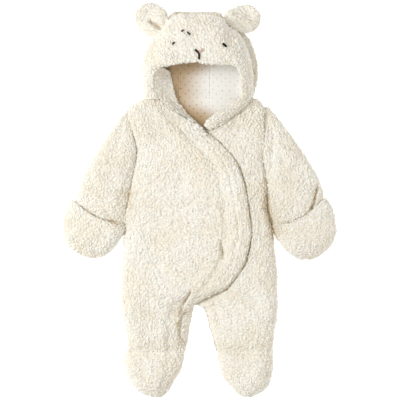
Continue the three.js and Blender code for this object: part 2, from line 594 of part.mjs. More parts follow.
function archPoint(i, j, top) {
  const { row, x, y, width, inside, toMouth } = archPlace(i, j);
  const reach = Math.min(foreheadRoll, width * 0.8);
  const wallWidth = Math.min(hoodSideWall, width * 0.3);
  const seam = hoodSeam + seamGap;
  const rounding = 3 * (1 - round(toMouth, 6));
  const crown = seam + seamCloth + (row.high - seam - seamCloth) * round(inside, reach);
  if (top) return new THREE.Vector3(x, y, crown - rounding - troughs(x, y, browCrease));
  const ceiling = row.high - hoodCloth;
  const hollow = seam + (ceiling - seam) * round(inside - wallWidth, reach - wallWidth * 0.5);
  const laid = row.low + 4 * (1 - round(inside, 12)) + 4 * (1 - round(toMouth, 8));
  return new THREE.Vector3(x, y, mix(Math.min(hollow, crown - seamCloth + 0.5) + rounding, laid, row.tail));
}
addSheet(
  "hood_front",
  fleece,
  hoodFrontRows.length - 1,
  archShares.length - 1,
  () => true,
  (i, j) => archPoint(i, j, true),
  (i, j) => archPoint(i, j, false),
);

// The facing turned into the right side of the opening slopes from its edge down to the lining.
// high and low: its surface at the rim and at the lining. rest: its underside at the lining.
const facingRows = [
  { rimX: 164.4, rimY: 69.4, liningX: 169, liningY: 71, high: 50, low: 23, rest: 14.8 },
  { rimX: 160, rimY: 71, liningX: 170.2, liningY: 74, high: 49, low: 21, rest: 14.8 },
  { rimX: 156.2, rimY: 75, liningX: 171.4, liningY: 78.4, high: 48, low: 20, rest: 14.8 },
  { rimX: 155, rimY: 81, liningX: 172.6, liningY: 84, high: 45, low: 20, rest: 14.8 },
  { rimX: 155.4, rimY: 88, liningX: 173.8, liningY: 90, high: 42, low: 20, rest: 14.8 },
  { rimX: 157.6, rimY: 94.6, liningX: 175.2, liningY: 95.8, high: 39, low: 21, rest: 15.6 },
  { rimX: 162.6, rimY: 100.4, liningX: 177.8, liningY: 101.4, high: 36, low: 22.5, rest: 17.4 },
  { rimX: 169, rimY: 105.4, liningX: 182, liningY: 107, high: 34, low: 23.5, rest: 17.4 },
  { rimX: 176.6, rimY: 110.8, liningX: 187, liningY: 113, high: 33, low: 24.5, rest: 17.4 },
  { rimX: 185, rimY: 116.4, liningX: 192, liningY: 118.4, high: 32, low: 25.5, rest: 17.4 },
  { rimX: 193.6, rimY: 121.8, liningX: 197, liningY: 123, high: 31, low: 26.5, rest: 17.4 },
];
const facingShares = [0, 0.1, 0.35, 0.65, 0.9, 1];
function facingPoint(i, j, top) {
  const row = facingRows[i];
  const share = facingShares[j];
  const x = toX(mix(row.rimX, row.liningX, share));
  const y = toY(mix(row.rimY, row.liningY, share));
  const edge = Math.min(share, 1 - share) * Math.hypot(row.rimX - row.liningX, row.rimY - row.liningY) * unit;
  const surface = mix(row.high, row.low, smooth(share)) - 2.5 * (1 - round(edge, 5));
  const cloth = mix(facingCloth, 5, i / (facingRows.length - 1)) - 4 * (1 - round(edge, 5));
  const rest = mix(hoodSeam - 1.4, row.rest, share);
  return new THREE.Vector3(x, y, top ? surface : Math.max(surface - cloth, rest));
}
addSheet(
  "hood_facing",
  fleece,
  facingRows.length - 1,
  facingShares.length - 1,
  () => true,
  (i, j) => facingPoint(i, j, true),
  (i, j) => facingPoint(i, j, false),
);

// Each ear is two padded layers. Its sections run from the end nearer the crown to the other.
const rightEar = [
  { fromX: 168, fromY: 16.8, toX: 152, toY: 36.8, bow: -1.6 },
  { fromX: 166, fromY: 12, toX: 146, toY: 35, bow: 0 },
  { fromX: 162, fromY: 7, toX: 140, toY: 30.4, bow: 0 },
  { fromX: 156.4, fromY: 3.2, toX: 135.8, toY: 23, bow: 0 },
  { fromX: 149.4, fromY: 1.6, toX: 134.6, toY: 15.4, bow: 0 },
  { fromX: 142.4, fromY: 3.8, toX: 136.2, toY: 9.6, bow: 0 },
];
const leftEar = [
  { fromX: 224.2, fromY: 16, toX: 244.4, toY: 32.8, bow: -1.7 },
  { fromX: 227, fromY: 11.6, toX: 250, toY: 32.2, bow: 0 },
  { fromX: 233, fromY: 7.4, toX: 256.4, toY: 28.4, bow: 0 },
  { fromX: 240.4, fromY: 4.8, toX: 260.2, toY: 22, bow: 0 },
  { fromX: 248, fromY: 4, toX: 260.4, toY: 15.4, bow: 0 },
  { fromX: 253.4, fromY: 5.8, toX: 258.2, toY: 10.6, bow: 0 },
];
const rightEarFolds = [{ fromX: 151, fromY: 21.5, toX: 160, toY: 27, depth: 4, width: 5 }];
const leftEarFolds = [{ fromX: 238, fromY: 23, toX: 246, toY: 28, depth: 2, width: 6 }];
const earShares = [0, 0.04, 0.14, 0.3, 0.5, 0.7, 0.86, 0.96, 1];
function addEar(name, table, folds) {
  const rows = refine(table, 2);
  const place = (i, j) => {
    const row = rows[i];
    const share = earShares[j];
    const across = row.bow * unit * 4 * share * (1 - share);
    const x0 = toX(row.fromX);
    const y0 = toY(row.fromY);
    const dx = toX(row.toX) - x0;
    const dy = toY(row.toY) - y0;
    const width = Math.hypot(dx, dy);
    const out = Math.sign(dx) * (across / width);
    const along = i / (rows.length - 1);
    const edge = Math.min(Math.min(share, 1 - share) * width, (1 - along) * 44 + 2);
    const full = round(edge, 16) * mix(0.7, 1, smooth(along * 4));
    const height = mix(earBaseHeight, earTipHeight, smooth(along * 1.6));
    return { x: x0 + dx * share - dy * out, y: y0 + dy * share + dx * out, full, height };
  };
  const layer = (i, j, low, high) => {
    const { x, y, full, height } = place(i, j);
    const cloth = mix(earEdge, earLayer, full);
    const fold = low ? 0 : troughs(x, y, folds);
    const z = low ? Math.max(height - cloth * high, 0) : height + seamGap + cloth * high - fold * high;
    return new THREE.Vector3(x, y, z);
  };
  const all = () => true;
  const count = rows.length - 1;
  const width = earShares.length - 1;
  addSheet(name + "_back", fleece, count, width, all, (i, j) => layer(i, j, true, 0), (i, j) => layer(i, j, true, 1));
  addSheet(name + "_front", fleece, count, width, all, (i, j) => layer(i, j, false, 1), (i, j) => {
    return layer(i, j, false, 0);
  });
}
addEar("ear_right", rightEar, rightEarFolds);
addEar("ear_left", leftEar, leftEarFolds);

export default suit;
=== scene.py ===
import math
import numpy as np
import bpy
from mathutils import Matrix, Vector
from mathutils.bvhtree import BVHTree


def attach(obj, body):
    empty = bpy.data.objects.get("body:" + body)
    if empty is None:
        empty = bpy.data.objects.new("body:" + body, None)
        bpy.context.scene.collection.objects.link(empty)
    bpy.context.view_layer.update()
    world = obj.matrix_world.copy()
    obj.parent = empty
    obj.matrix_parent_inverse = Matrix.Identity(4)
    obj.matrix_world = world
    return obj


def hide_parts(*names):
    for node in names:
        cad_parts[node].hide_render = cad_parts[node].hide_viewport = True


# Baby suit in curly fleece, laid flat on its back and seen from straight above.
# Lengths here are in mm until a mesh is made. x to the wearer's left, y towards the hood, z up.
# Left and right are the wearer's.

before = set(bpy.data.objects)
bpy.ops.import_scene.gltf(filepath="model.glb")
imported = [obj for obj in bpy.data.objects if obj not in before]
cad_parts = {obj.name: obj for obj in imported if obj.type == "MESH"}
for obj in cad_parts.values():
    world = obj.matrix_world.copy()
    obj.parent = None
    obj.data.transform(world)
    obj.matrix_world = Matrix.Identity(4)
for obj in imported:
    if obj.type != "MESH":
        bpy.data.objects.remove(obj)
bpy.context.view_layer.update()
print("frame loaded")

# The tables read the outline in photograph units, as part.mjs does.
sizes = {
    "suitLength": 676,      # toes to the top of the ears
    "photoLength": 397.5,
    "middleX": 199.1,
    "middleY": 199.4,
    "gap": 0.3,             # between pieces at a seam
}
unit = sizes["suitLength"] / sizes["photoLength"]


def toX(u):
    return (u - sizes["middleX"]) * unit


def toY(v):
    return (sizes["middleY"] - v) * unit


# ---- small maths, all on whole arrays

def mix(a, b, t):
    return a + (b - a) * t


def smooth(t):
    s = np.clip(t, 0, 1)
    return s * s * (3 - 2 * s)


# quarter round: 0 at the edge, 1 from the reach on
def roundOff(distance, reach):
    t = 1 - np.clip(distance / reach, 0, 1)
    return np.sqrt(np.maximum(1 - t * t, 0))


def bell(distance, width):
    return np.exp(-(distance / width) ** 2)


# rows of named columns as a dictionary of arrays
def table(names, rows):
    data = np.array(rows, dtype=float)
    return {name: data[:, k] for k, name in enumerate(names.split())}


# the same table with more rows: a cubic through each four neighbours
def refine(rows, steps):
    count = len(next(iter(rows.values())))
    s = np.arange((count - 1) * steps + 1) / steps
    i = np.minimum(s.astype(int), count - 2)
    t = s - i
    fine = {}
    for name, col in rows.items():
        p0, p1 = col[np.maximum(i - 1, 0)], col[i]
        p2, p3 = col[i + 1], col[np.minimum(i + 2, count - 1)]
        into = (p2 - p0) / 2 * (t - 2 * t**2 + t**3)
        out = (p3 - p1) / 2 * (t**3 - t**2)
        fine[name] = mix(p1, p2, 3 * t**2 - 2 * t**3) + into + out
    return fine


# the same table with its first and last rows moved on by a share of the span beside them
def runOn(rows, first, last):
    longer = {}
    for name, col in rows.items():
        col = col.copy()
        if name[-1] in "XY":
            col[0] = col[0] + (col[0] - col[1]) * first
            col[-1] = col[-1] + (col[-1] - col[-2]) * last
        longer[name] = col
    return longer


# distance to the line between two ends, in mm
def toSegment(x, y, line):
    ax, ay = toX(line[0]), toY(line[1])
    dx, dy = toX(line[2]) - ax, toY(line[3]) - ay
    t = np.clip(((x - ax) * dx + (y - ay) * dy) / (dx * dx + dy * dy), 0, 1)
    return np.hypot(x - ax - dx * t, y - ay - dy * t)


# sum of soft troughs, each a line's ends with its depth and width (a ridge has a depth below 0)
def troughs(x, y, lines):
    total = np.zeros_like(x)
    for line in lines:
        total = total + line[4] * bell(toSegment(x, y, line), line[5])
    return total


# whole numbers to a repeatable fraction from 0 to 1
def lattice(i, j, k, seed):
    mask = 0xFFFFFFFF
    h = (i * 73856093) ^ (j * 19349663) ^ (k * 83492791) ^ (seed * 2654435761 & mask)
    h = ((h & mask) ^ ((h & mask) >> 13)) * 1274126177 & mask
    h = (h ^ (h >> 16)) * 2246822519 & mask
    return ((h ^ (h >> 15)) & 0xFFFF) / 65535.0


# soft noise from -1 to 1: lattice values blended between the eight corners round each point
def softNoise(p, size, seed):
    q = p / size
    base = np.floor(q).astype(np.int64)
    f = q - base
    f = f * f * (3 - 2 * f)
    total = np.zeros(len(p))
    for dx in (0, 1):
        for dy in (0, 1):
            for dz in (0, 1):
                weight = (np.where(dx, f[:, 0], 1 - f[:, 0]) * np.where(dy, f[:, 1], 1 - f[:, 1])
                          * np.where(dz, f[:, 2], 1 - f[:, 2]))
                total += weight * lattice(base[:, 0] + dx, base[:, 1] + dy, base[:, 2] + dz, seed)
    return total * 2 - 1


# distance to the nearest and the next of one jittered point per cell, and the nearest one's own fraction
def curlCells(p, size, seed):
    q = p / size
    base = np.floor(q).astype(np.int64)
    near = np.full(len(p), 9.0)
    following = np.full(len(p), 9.0)
    own = np.zeros(len(p))
    for dx in (-1, 0, 1):
        for dy in (-1, 0, 1):
            for dz in (-1, 0, 1):
                c = base + np.array([dx, dy, dz])
                spot = np.stack([c[:, a] + 0.1 + 0.8 * lattice(c[:, 0], c[:, 1], c[:, 2], seed + a)
                                 for a in range(3)], axis=1)
                d = np.linalg.norm(q - spot, axis=1)
                closer = d < near
                following = np.where(closer, near, np.minimum(following, d))
                own = np.where(closer, lattice(c[:, 0], c[:, 1], c[:, 2], seed + 7), own)
                near = np.where(closer, d, near)
    return near, following, own


# ---- meshes

# outward normals of a grid whose second way closes on itself: cross product of the two differences
def ringNormals(grid):
    along = np.gradient(grid, axis=0)
    round_ = np.roll(grid, -1, axis=1) - np.roll(grid, 1, axis=1)
    n = np.cross(along, round_)
    length = np.linalg.norm(n, axis=2, keepdims=True)
    return n / np.maximum(length, 1e-9)


curls = {
    "size": 5.0,      # mm across one clump of curls
    "height": 2.8,    # mm from the hollow between clumps to a tip
    "wander": 2.6,    # how far the clumps are pushed out of their grid
    "loop": 2.7,      # mm across one curl in a clump
    "loopHeight": 1.5,
    "swell": 1.2,     # slow rise and fall of the padded cloth
}


# painted shade where the pile sinks into a crease or lies beside another piece: a line's ends, how much and how wide in
# mm
paintedShadeLines = [
    (262.4, 150, 264.8, 180, 0.35, 4), (264.8, 180, 265.6, 208, 0.7, 6), (265.6, 208, 273.2, 237, 0.8, 7),
    (270, 198, 279, 231, 0.5, 11), (121, 192, 112, 228, 0.35, 11),
    (136, 158, 129.9, 194, 0.2, 5), (129.9, 194, 125, 224, 0.5, 9), (108, 220, 118, 224, 0.7, 4), (78, 203, 100, 220, 0.4, 2.5),
    (317.5, 187.5, 312, 208, 0.9, 3.4), (312, 208, 300, 219, 0.5, 2.6),
    (190, 292.5, 185, 301, 0.7, 3), (185, 301, 180, 312.5, 0.6, 3.4), (180, 312.5, 177.5, 324, 0.6, 4),
    (177.5, 324, 179, 344, 0.6, 4), (185, 312, 183, 340, 0.35, 6),
    (220.7, 242, 223.5, 257, 0.6, 2.4), (150, 20, 159, 27, 0.8, 3.6), (222.5, 20, 232, 28, 0.6, 3), (238, 23, 245, 28, 0.4, 3),
    (208, 129.4, 240, 113.5, 0.5, 3.4), (240, 113.5, 251, 102, 0.5, 3.4), (160, 72, 170, 78, 0.5, 7), (157, 88, 178, 106, 0.3, 2.6),
]


# the same painted shade beside the wrap's edge, which the levels give
def paintedShadeBesideEdge(x, y):
    v = sizes["middleY"] - y / unit
    edge = toX(np.interp(v, levels["y"], levels["wrap"]))
    return 0.9 * bell(x - edge - 1, 2.0) * smooth((v - 128) / 8) * smooth((308 - v) / 8)


# pile height over the cloth: a dome on each clump and on each curl in it, cut by the hollows between, on a slow swell;
# and the tone for the painted shade, low in the hollows, along the shade lines and beside the wrap's edge
def pile(p):
    bend = np.stack([softNoise(p, 7.0, 11 + a) + 0.4 * softNoise(p, 3.0, 15 + a) for a in range(3)], axis=1)
    q = p + bend * curls["wander"]
    near, following, own = curlCells(q, curls["size"], 31)
    clump = np.sqrt(np.clip(1 - (near / 0.95) ** 2, 0, 1)) * (0.5 + 0.6 * own) * (0.2 + 0.8 * smooth((following - near) / 0.26))
    near, following, own = curlCells(p + bend * 1.2, curls["loop"], 57)
    loop = np.sqrt(np.clip(1 - (near / 0.95) ** 2, 0, 1)) * (0.45 + 0.7 * own) * (0.25 + 0.75 * smooth((following - near) / 0.3))
    swell = 0.6 * softNoise(p, 30.0, 5) + 0.4 * softNoise(p, 14.0, 6)
    height = curls["height"] * (clump - 0.52) + curls["loopHeight"] * (loop - 0.5) + curls["swell"] * swell
    # painted shade along the crease lines and beside the wrap's edge, taken off the tone
    paintedShade = np.clip(troughs(p[:, 0], p[:, 1], paintedShadeLines) + paintedShadeBesideEdge(p[:, 0], p[:, 1]), 0, 1)
    return height, np.clip(0.62 * clump + 0.5 * loop, 0, 1) * (1 - paintedShade)


finished = {}


# closed mesh from a grid of rings, its two ends filled; the pile attribute sets the painted shade and light: 0 in a
# hollow, 1 on a curl's tip
def ringMesh(name, grid, shade, material, closedEnd=True):
    rows, count, _ = grid.shape
    points = grid.reshape(-1, 3)
    i, j = np.meshgrid(np.arange(rows - 1), np.arange(count), indexing="ij")
    n = (j + 1) % count
    quads = np.stack([i * count + j, i * count + n, (i + 1) * count + n, (i + 1) * count + j], axis=-1).reshape(-1, 4)
    ends = [np.arange(count)[::-1], (rows - 1) * count + np.arange(count)]
    a, b, c = points[quads[:, 0]], points[quads[:, 1]], points[quads[:, 2]]
    volume = np.einsum("ij,ij->i", a, np.cross(b, c)).sum()
    if volume < 0:
        quads = quads[:, ::-1]
        ends = [e[::-1] for e in ends]
    faces = quads.tolist() + ([e.tolist() for e in ends] if closedEnd else [])
    return addMesh(name, points, faces, shade.reshape(-1), material)


def addMesh(name, points, faces, shade, material):
    mesh = bpy.data.meshes.new(name)
    mesh.from_pydata((points / 1000).tolist(), [], faces)
    mesh.polygons.foreach_set("use_smooth", np.ones(len(mesh.polygons), dtype=bool))
    if shade is not None:
        layer = mesh.attributes.new("pile", "FLOAT", "POINT")
        layer.data.foreach_set("value", np.asarray(shade, dtype=np.float32))
    mesh.update()
    mesh.set_sharp_from_angle(angle=math.radians(72))
    mesh.materials.append(material)
    obj = bpy.data.objects.new(name, mesh)
    bpy.context.collection.objects.link(obj)
    finished[name] = obj
    return obj


# points on the cut edge between two lines of points, bulged a little outwards
def edgePoints(a, b, outwards, count=5):
    t = np.linspace(0, 1, count + 2)[None, 1:-1, None]
    length = np.linalg.norm(a - b, axis=-1, keepdims=True)
    return mix(a[:, None], b[:, None], t) + (outwards * np.minimum(length, 8) * 0.12)[:, None] * 4 * t * (1 - t)


# top and bottom faces of a cloth joined into rings, then lifted by the pile where the cloth faces out
def cloth(name, top, bottom, material, amount=1.0, underside=0.0):
    last = top[:, -1] - top[:, -2]
    first = top[:, 0] - top[:, 1]
    last, first = (d / np.maximum(np.linalg.norm(d, axis=-1, keepdims=True), 1e-6) for d in (last, first))
    right = edgePoints(top[:, -1], bottom[:, -1], last)
    left = edgePoints(bottom[:, 0], top[:, 0], first)
    grid = np.concatenate([top, right, bottom[:, ::-1], left], axis=1)
    # the pile wraps round both edges and fades under the cloth
    j = np.arange(bottom.shape[1])
    fade = underside + (1 - underside) * bell(np.minimum(j, j[::-1]), 1.2)
    mask = np.ones(grid.shape[:2])
    mask[:, top.shape[1] + right.shape[1]:-left.shape[1]] = fade
    return piled(name, grid, mask * amount, material)


def piled(name, grid, mask, material, closedEnd=True):
    normals = ringNormals(grid)
    shape = grid.shape
    rows, count, _ = shape
    # a signed volume tells whether the cross products point outwards
    centre = grid.mean(axis=1, keepdims=True)
    if np.einsum("ijk,ijk->", grid - centre, normals) < 0:
        normals = -normals
    height, tone = pile(grid.reshape(-1, 3))
    height = height.reshape(shape[:2]) * mask
    tone = np.where(mask > 0, tone.reshape(shape[:2]), 0.6)
    moved = grid + normals * height[..., None]
    moved[..., 2] = np.where(grid[..., 2] < 1.0, grid[..., 2], np.maximum(moved[..., 2], 0.2))
    return ringMesh(name, moved, tone, material, closedEnd)


def standsFor(obj, nodes):
    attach(obj, "root")
    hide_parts(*nodes)


# ---- materials

def linear(hexColour):
    values = [int(hexColour[k:k + 2], 16) / 255 for k in (1, 3, 5)]
    return [v / 12.92 if v <= 0.04045 else ((v + 0.055) / 1.055) ** 2.4 for v in values] + [1.0]


# adds one node, sets its properties and inputs, and links the sockets given
def addNode(tree, kind, settings=None, values=None, links=None):
    node = tree.nodes.new(kind)
    for key, value in (settings or {}).items():
        setattr(node, key, value)
    for key, value in (values or {}).items():
        node.inputs[key].default_value = value
    for key, socket in (links or {}).items():
        tree.links.new(socket, node.inputs[key])
    return node


def newMaterial(name):
    made = bpy.data.materials.new(name)
    made.use_nodes = True
    tree = made.node_tree
    tree.nodes.clear()
    output = addNode(tree, "ShaderNodeOutputMaterial")
    return made, tree, output


fleeceLook = {
    "tip": "#FAF7F0",        # lit ends of the curls
    "body": "#F6F2E8",
    "hollow": "#D8CAB0",     # warm shade between curls
    "roughness": 0.95,
    "sheen": 0.35,
    "glow": 0.25,            # light that passes between the fibres
    "glowDepth": 2.0,        # mm
    "fibre": 0.9,            # mm, coarser than a real fibre so that it shows
    "curl": 2.1,             # mm, small loops on each curl
}


# curly sherpa fleece: brushed polyester loops, matte and soft, with painted warm shade in the hollows and painted light
# on the curls' tips, and a pale bloom at grazing angles
def curlyFleece(name, look):
    made, tree, output = newMaterial(name)
    place = addNode(tree, "ShaderNodeTexCoord").outputs["Object"]
    tone = addNode(tree, "ShaderNodeAttribute", {"attribute_name": "pile"}).outputs["Fac"]
    # painted shade and light: the pile attribute runs the colour from the hollows' warm shade to the curls' lit tips
    ramp = addNode(tree, "ShaderNodeValToRGB", links={"Fac": tone})
    ramp.color_ramp.elements[0].position = 0.02
    ramp.color_ramp.elements[0].color = linear(look["hollow"])
    ramp.color_ramp.elements[1].position = 0.85
    ramp.color_ramp.elements[1].color = linear(look["tip"])
    middle = ramp.color_ramp.elements.new(0.34)
    middle.color = linear(look["body"])
    patches = addNode(tree, "ShaderNodeTexNoise", values={"Scale": 1000 / 45, "Detail": 2.0}, links={"Vector": place})
    mottled = addNode(tree, "ShaderNodeMix", {"data_type": "RGBA", "blend_type": "MULTIPLY"},
                      {"Factor": 0.05, "B": linear("#F1E9DA")}, {"A": ramp.outputs["Color"]})
    tree.links.new(patches.outputs["Fac"], mottled.inputs["Factor"])
    loops = addNode(tree, "ShaderNodeTexVoronoi", {"feature": "SMOOTH_F1"}, {"Scale": 1000 / look["curl"]}, {"Vector": place})
    fibres = addNode(tree, "ShaderNodeTexNoise", values={"Scale": 1000 / look["fibre"], "Detail": 3.0, "Distortion": 1.2},
                     links={"Vector": place})
    bumpLoops = addNode(tree, "ShaderNodeBump", {"invert": True}, {"Strength": 0.75, "Distance": 0.0012},
                        {"Height": loops.outputs["Distance"]})
    bumpFibres = addNode(tree, "ShaderNodeBump", {}, {"Strength": 0.45, "Distance": 0.0006},
                         {"Height": fibres.outputs["Fac"], "Normal": bumpLoops.outputs["Normal"]})
    shader = addNode(tree, "ShaderNodeBsdfPrincipled",
                 values={"Roughness": look["roughness"], "Subsurface Weight": look["glow"], "Subsurface Scale": look["glowDepth"] / 1000,
                             "Subsurface Radius": (1.0, 0.8, 0.6), "Sheen Weight": look["sheen"], "Sheen Roughness": 0.6,
                             "Specular IOR Level": 0.15},
                     links={"Base Color": mottled.outputs["Result"], "Normal": bumpFibres.outputs["Normal"]})
    tree.links.new(shader.outputs["BSDF"], output.inputs["Surface"])
    return made


jerseyLook = {
    "cloth": "#EFEBE3",
    "deepShade": "#CBB292",       # painted shade over the cloth where it runs in under the rim
    "dot": "#3B332D",
    "faintDot": "#8F8274",
    "dotSpacing": (14.0, 13.6),   # mm across and along, with fainter dots half way between
    "dotRadius": 0.85,
    "dotFade": 0.5,               # share of their strength that the dots lose where the cloth lies open to the light
    "knit": 1.1,                  # mm between ribs, coarser than real so that it shows
}


# cotton jersey printed with small scattered dots: flat, slightly ribbed, dull, with painted shade where it runs in
# under the rim
def dottedJersey(name, look):
    made, tree, output = newMaterial(name)
    place = addNode(tree, "ShaderNodeTexCoord").outputs["Object"]
    wobble = addNode(tree, "ShaderNodeTexNoise", values={"Scale": 60.0, "Detail": 0.0}, links={"Vector": place})
    shifted = addNode(tree, "ShaderNodeVectorMath", {"operation": "MULTIPLY_ADD"},
                      {1: (0.007, 0.007, 0.0)}, {0: wobble.outputs["Color"], 2: place})
    tone = addNode(tree, "ShaderNodeAttribute", {"attribute_name": "pile"}).outputs["Fac"]
    # painted highlight: the dots lose strength with the tone where the cloth lies open to the light
    kept = addNode(tree, "ShaderNodeMath", {"operation": "MULTIPLY_ADD"}, {1: -look["dotFade"], 2: 1.0}, {0: tone})
    masks = []
    stepX, stepY = (s / 1000 for s in look["dotSpacing"])
    for alongX, alongY, colour in ((0.0, 0.0, "dot"), (0.5, 0.5, "faintDot")):
        moved = addNode(tree, "ShaderNodeVectorMath", {"operation": "ADD"},
                        {1: (alongX * stepX, alongY * stepY, 0.0)}, {0: shifted.outputs["Vector"]})
        cell = addNode(tree, "ShaderNodeVectorMath", {"operation": "WRAP"},
                       {1: (stepX / 2, stepY / 2, 1.0), 2: (-stepX / 2, -stepY / 2, -1.0)},
                       {0: moved.outputs["Vector"]})
        flat = addNode(tree, "ShaderNodeVectorMath", {"operation": "MULTIPLY"}, {1: (1.0, 1.0, 0.0)},
                       {0: cell.outputs["Vector"]})
        far = addNode(tree, "ShaderNodeVectorMath", {"operation": "LENGTH"}, links={0: flat.outputs["Vector"]})
        inside = addNode(tree, "ShaderNodeMath", {"operation": "LESS_THAN"}, {1: look["dotRadius"] / 1000},
                         {0: far.outputs["Value"]})
        strength = addNode(tree, "ShaderNodeMath", {"operation": "MULTIPLY"},
                           links={0: inside.outputs["Value"], 1: kept.outputs["Value"]})
        masks.append((strength.outputs["Value"], colour))
    colour = None
    for mask, kind in masks:
        layer = addNode(tree, "ShaderNodeMix", {"data_type": "RGBA"}, {"B": linear(look[kind])}, {"Factor": mask})
        if colour is None:
            layer.inputs["A"].default_value = linear(look["cloth"])
        else:
            tree.links.new(colour, layer.inputs["A"])
        colour = layer.outputs["Result"]
    # painted shade: the tone multiplies the cloth and its dots by the warm shade colour where the lining runs in under
    # the rim
    warm = addNode(tree, "ShaderNodeMix", {"data_type": "RGBA"}, {"A": linear(look["deepShade"]), "B": (1.0, 1.0, 1.0, 1.0)},
                   {"Factor": tone})
    shaded = addNode(tree, "ShaderNodeMix", {"data_type": "RGBA", "blend_type": "MULTIPLY"}, {"Factor": 1.0},
                     {"A": colour, "B": warm.outputs["Result"]})
    colour = shaded.outputs["Result"]
    ribs = addNode(tree, "ShaderNodeTexWave", {"bands_direction": "X"}, {"Scale": 1000 / look["knit"] / 6.28, "Distortion": 0.6},
                   {"Vector": place})
    bump = addNode(tree, "ShaderNodeBump", {}, {"Strength": 0.25, "Distance": 0.0003}, {"Height": ribs.outputs["Fac"]})
    shader = addNode(tree, "ShaderNodeBsdfPrincipled", values={"Roughness": 0.9, "Sheen Weight": 0.15, "Specular IOR Level": 0.2},
                     links={"Base Color": colour, "Normal": bump.outputs["Normal"]})
    tree.links.new(shader.outputs["BSDF"], output.inputs["Surface"])
    return made


# stranded embroidery cotton: twisted, a little glossy
def stitchCotton(name, hexColour):
    made, tree, output = newMaterial(name)
    place = addNode(tree, "ShaderNodeTexCoord").outputs["Object"]
    twist = addNode(tree, "ShaderNodeTexWave", {"bands_direction": "DIAGONAL"}, {"Scale": 1000 / 0.7 / 6.28},
                    {"Vector": place})
    bump = addNode(tree, "ShaderNodeBump", {}, {"Strength": 0.5, "Distance": 0.0003}, {"Height": twist.outputs["Fac"]})
    shader = addNode(tree, "ShaderNodeBsdfPrincipled", values={"Base Color": linear(hexColour), "Roughness": 0.75,
                                                               "Specular IOR Level": 0.15},
                     links={"Normal": bump.outputs["Normal"]})
    tree.links.new(shader.outputs["BSDF"], output.inputs["Surface"])
    return made


fleece = curlyFleece("curly_sherpa_fleece", fleeceLook)
jersey = dottedJersey("dotted_cotton_jersey", jerseyLook)
blackThread = stitchCotton("black_embroidery_cotton", "#0F0C0C")
brownThread = stitchCotton("brown_embroidery_cotton", "#351C13")
pinkThread = stitchCotton("pink_embroidery_cotton", "#DDA79A")
print("materials made")

# ---- body: fronts, back and feet share these levels, from the shoulders to the toes

levels = table("y side under wrap gap far", [
    (99, 143, 150, 159, 252.6, 258), (104, 134.5, 152, 166, 248.4, 262), (110, 128.3, 156, 174, 243.4, 263),
    (116, 128.6, 160, 182, 237.2, 263), (121, 129.6, 165, 190, 230, 263), (125, 130.4, 170, 197, 224.4, 262.8),
    (128, 131.2, 174, 201.5, 219.6, 262.7), (131.5, 132.2, 177, 204.2, 211, 262.6), (136.5, 133.5, 181, 210.5, 215.5, 262.5),
    (141, 134.4, 187, 217.5, 222.5, 262.4), (148, 135.5, 194, 224.5, 229.5, 262.2), (158, 136, 203, 232.9, 238, 262),
    (168, 134.2, 209, 238.6, 243.6, 262.8), (180, 132.4, 213, 242.9, 247.6, 264.8), (194, 129.9, 216, 245.8, 250.3, 265),
    (208, 127.4, 218, 247.9, 252.3, 265.6), (218, 125.9, 219, 249, 253.3, 267.2), (228, 124.8, 220, 250.5, 255, 270.3),
    (237, 124, 220, 250.4, 255, 273.2), (247, 123.8, 218, 248.4, 253.2, 273.8), (257, 123.4, 216, 246.6, 251.5, 274.8),
    (267, 122, 212, 242.4, 247.3, 276.2), (277, 121, 205, 235.3, 240.5, 277), (288, 121, 197, 226.6, 232, 277),
    (293.5, 120.6, 188, 217.3, 222.5, 277), (298, 120.2, 179, 207.5, 213, 277.2), (304.3, 121, 169, 195.7, 200.3, 277.7),
    (309, 121.2, 166, 193.6, 205, 277.5), (318, 122.6, 163, 191.6, 208.4, 276.6), (328, 125.2, 162, 189.6, 210.8, 274.8),
    (340, 127.2, 162, 188, 214.6, 273.3), (351, 126.1, 162, 184.8, 217, 272.9), (360, 123.6, 162, 183.2, 218, 273.2),
    (370, 125, 161, 180.6, 220.4, 273), (378, 127.2, 159, 175.8, 224, 271), (385, 132.2, 157, 172, 230, 269),
    (391, 138, 156, 168.6, 235.6, 262.6), (395, 146.4, 156, 165, 239.4, 257), (397.2, 152.5, 157, 161.5, 245.5, 251.5),
])
body = {
    "backCloth": 15, "frontCloth": 17, "underCloth": 11, "hiddenEdge": 1.6, "seamCloth": 6, "armholeCloth": 5,
    "backLift": 7, "backSeam": 13, "sideRoll": 32, "footRise": 6,
    "bandRise": 1.8, "bandGroove": 2.2, "wrapRounding": 4, "edgeReach": 5, "edgeThinning": 10.5, "edgeDip": 2.6,
    "legRoll": 10, "creaseRounding": 3,
    "grid": 1.15,          # mm between points of the visible cloth
    "neckEnd": 131.5, "legsFrom": 284, "crotch": 304.3, "rolledFrom": 309, "ankle": 351, "toe": 397.2,
}
fineLevels = refine(levels, 14)


# every column of the levels at heights v, straight between the fine rows
def levelAt(v):
    return {name: np.interp(v, fineLevels["y"], col)[:, None] for name, col in fineLevels.items()}


# 0 at the outline, 1 well inside: the quarter round of the distance to the side, to the inside leg and to the toe
def fullness(u, v, at, rightSide):
    across = roundOff(np.minimum(u - at["side"], at["far"] - u) * unit, body["sideRoll"])
    inner = at["wrap"] - u if rightSide else u - at["gap"]
    outer = u - at["side"] if rightSide else at["far"] - u
    inLeg = roundOff(np.minimum(inner, outer) * unit, body["sideRoll"] * 0.8)
    legness = smooth((v - body["legsFrom"]) / (body["crotch"] - body["legsFrom"]))
    toToe = np.where(v >= body["ankle"], (body["toe"] - v) * unit + 3, body["sideRoll"])
    return mix(across, inLeg, legness) * roundOff(toToe, body["sideRoll"])


def ankleDip(v):
    return bell((v - body["ankle"]) * unit, 8)


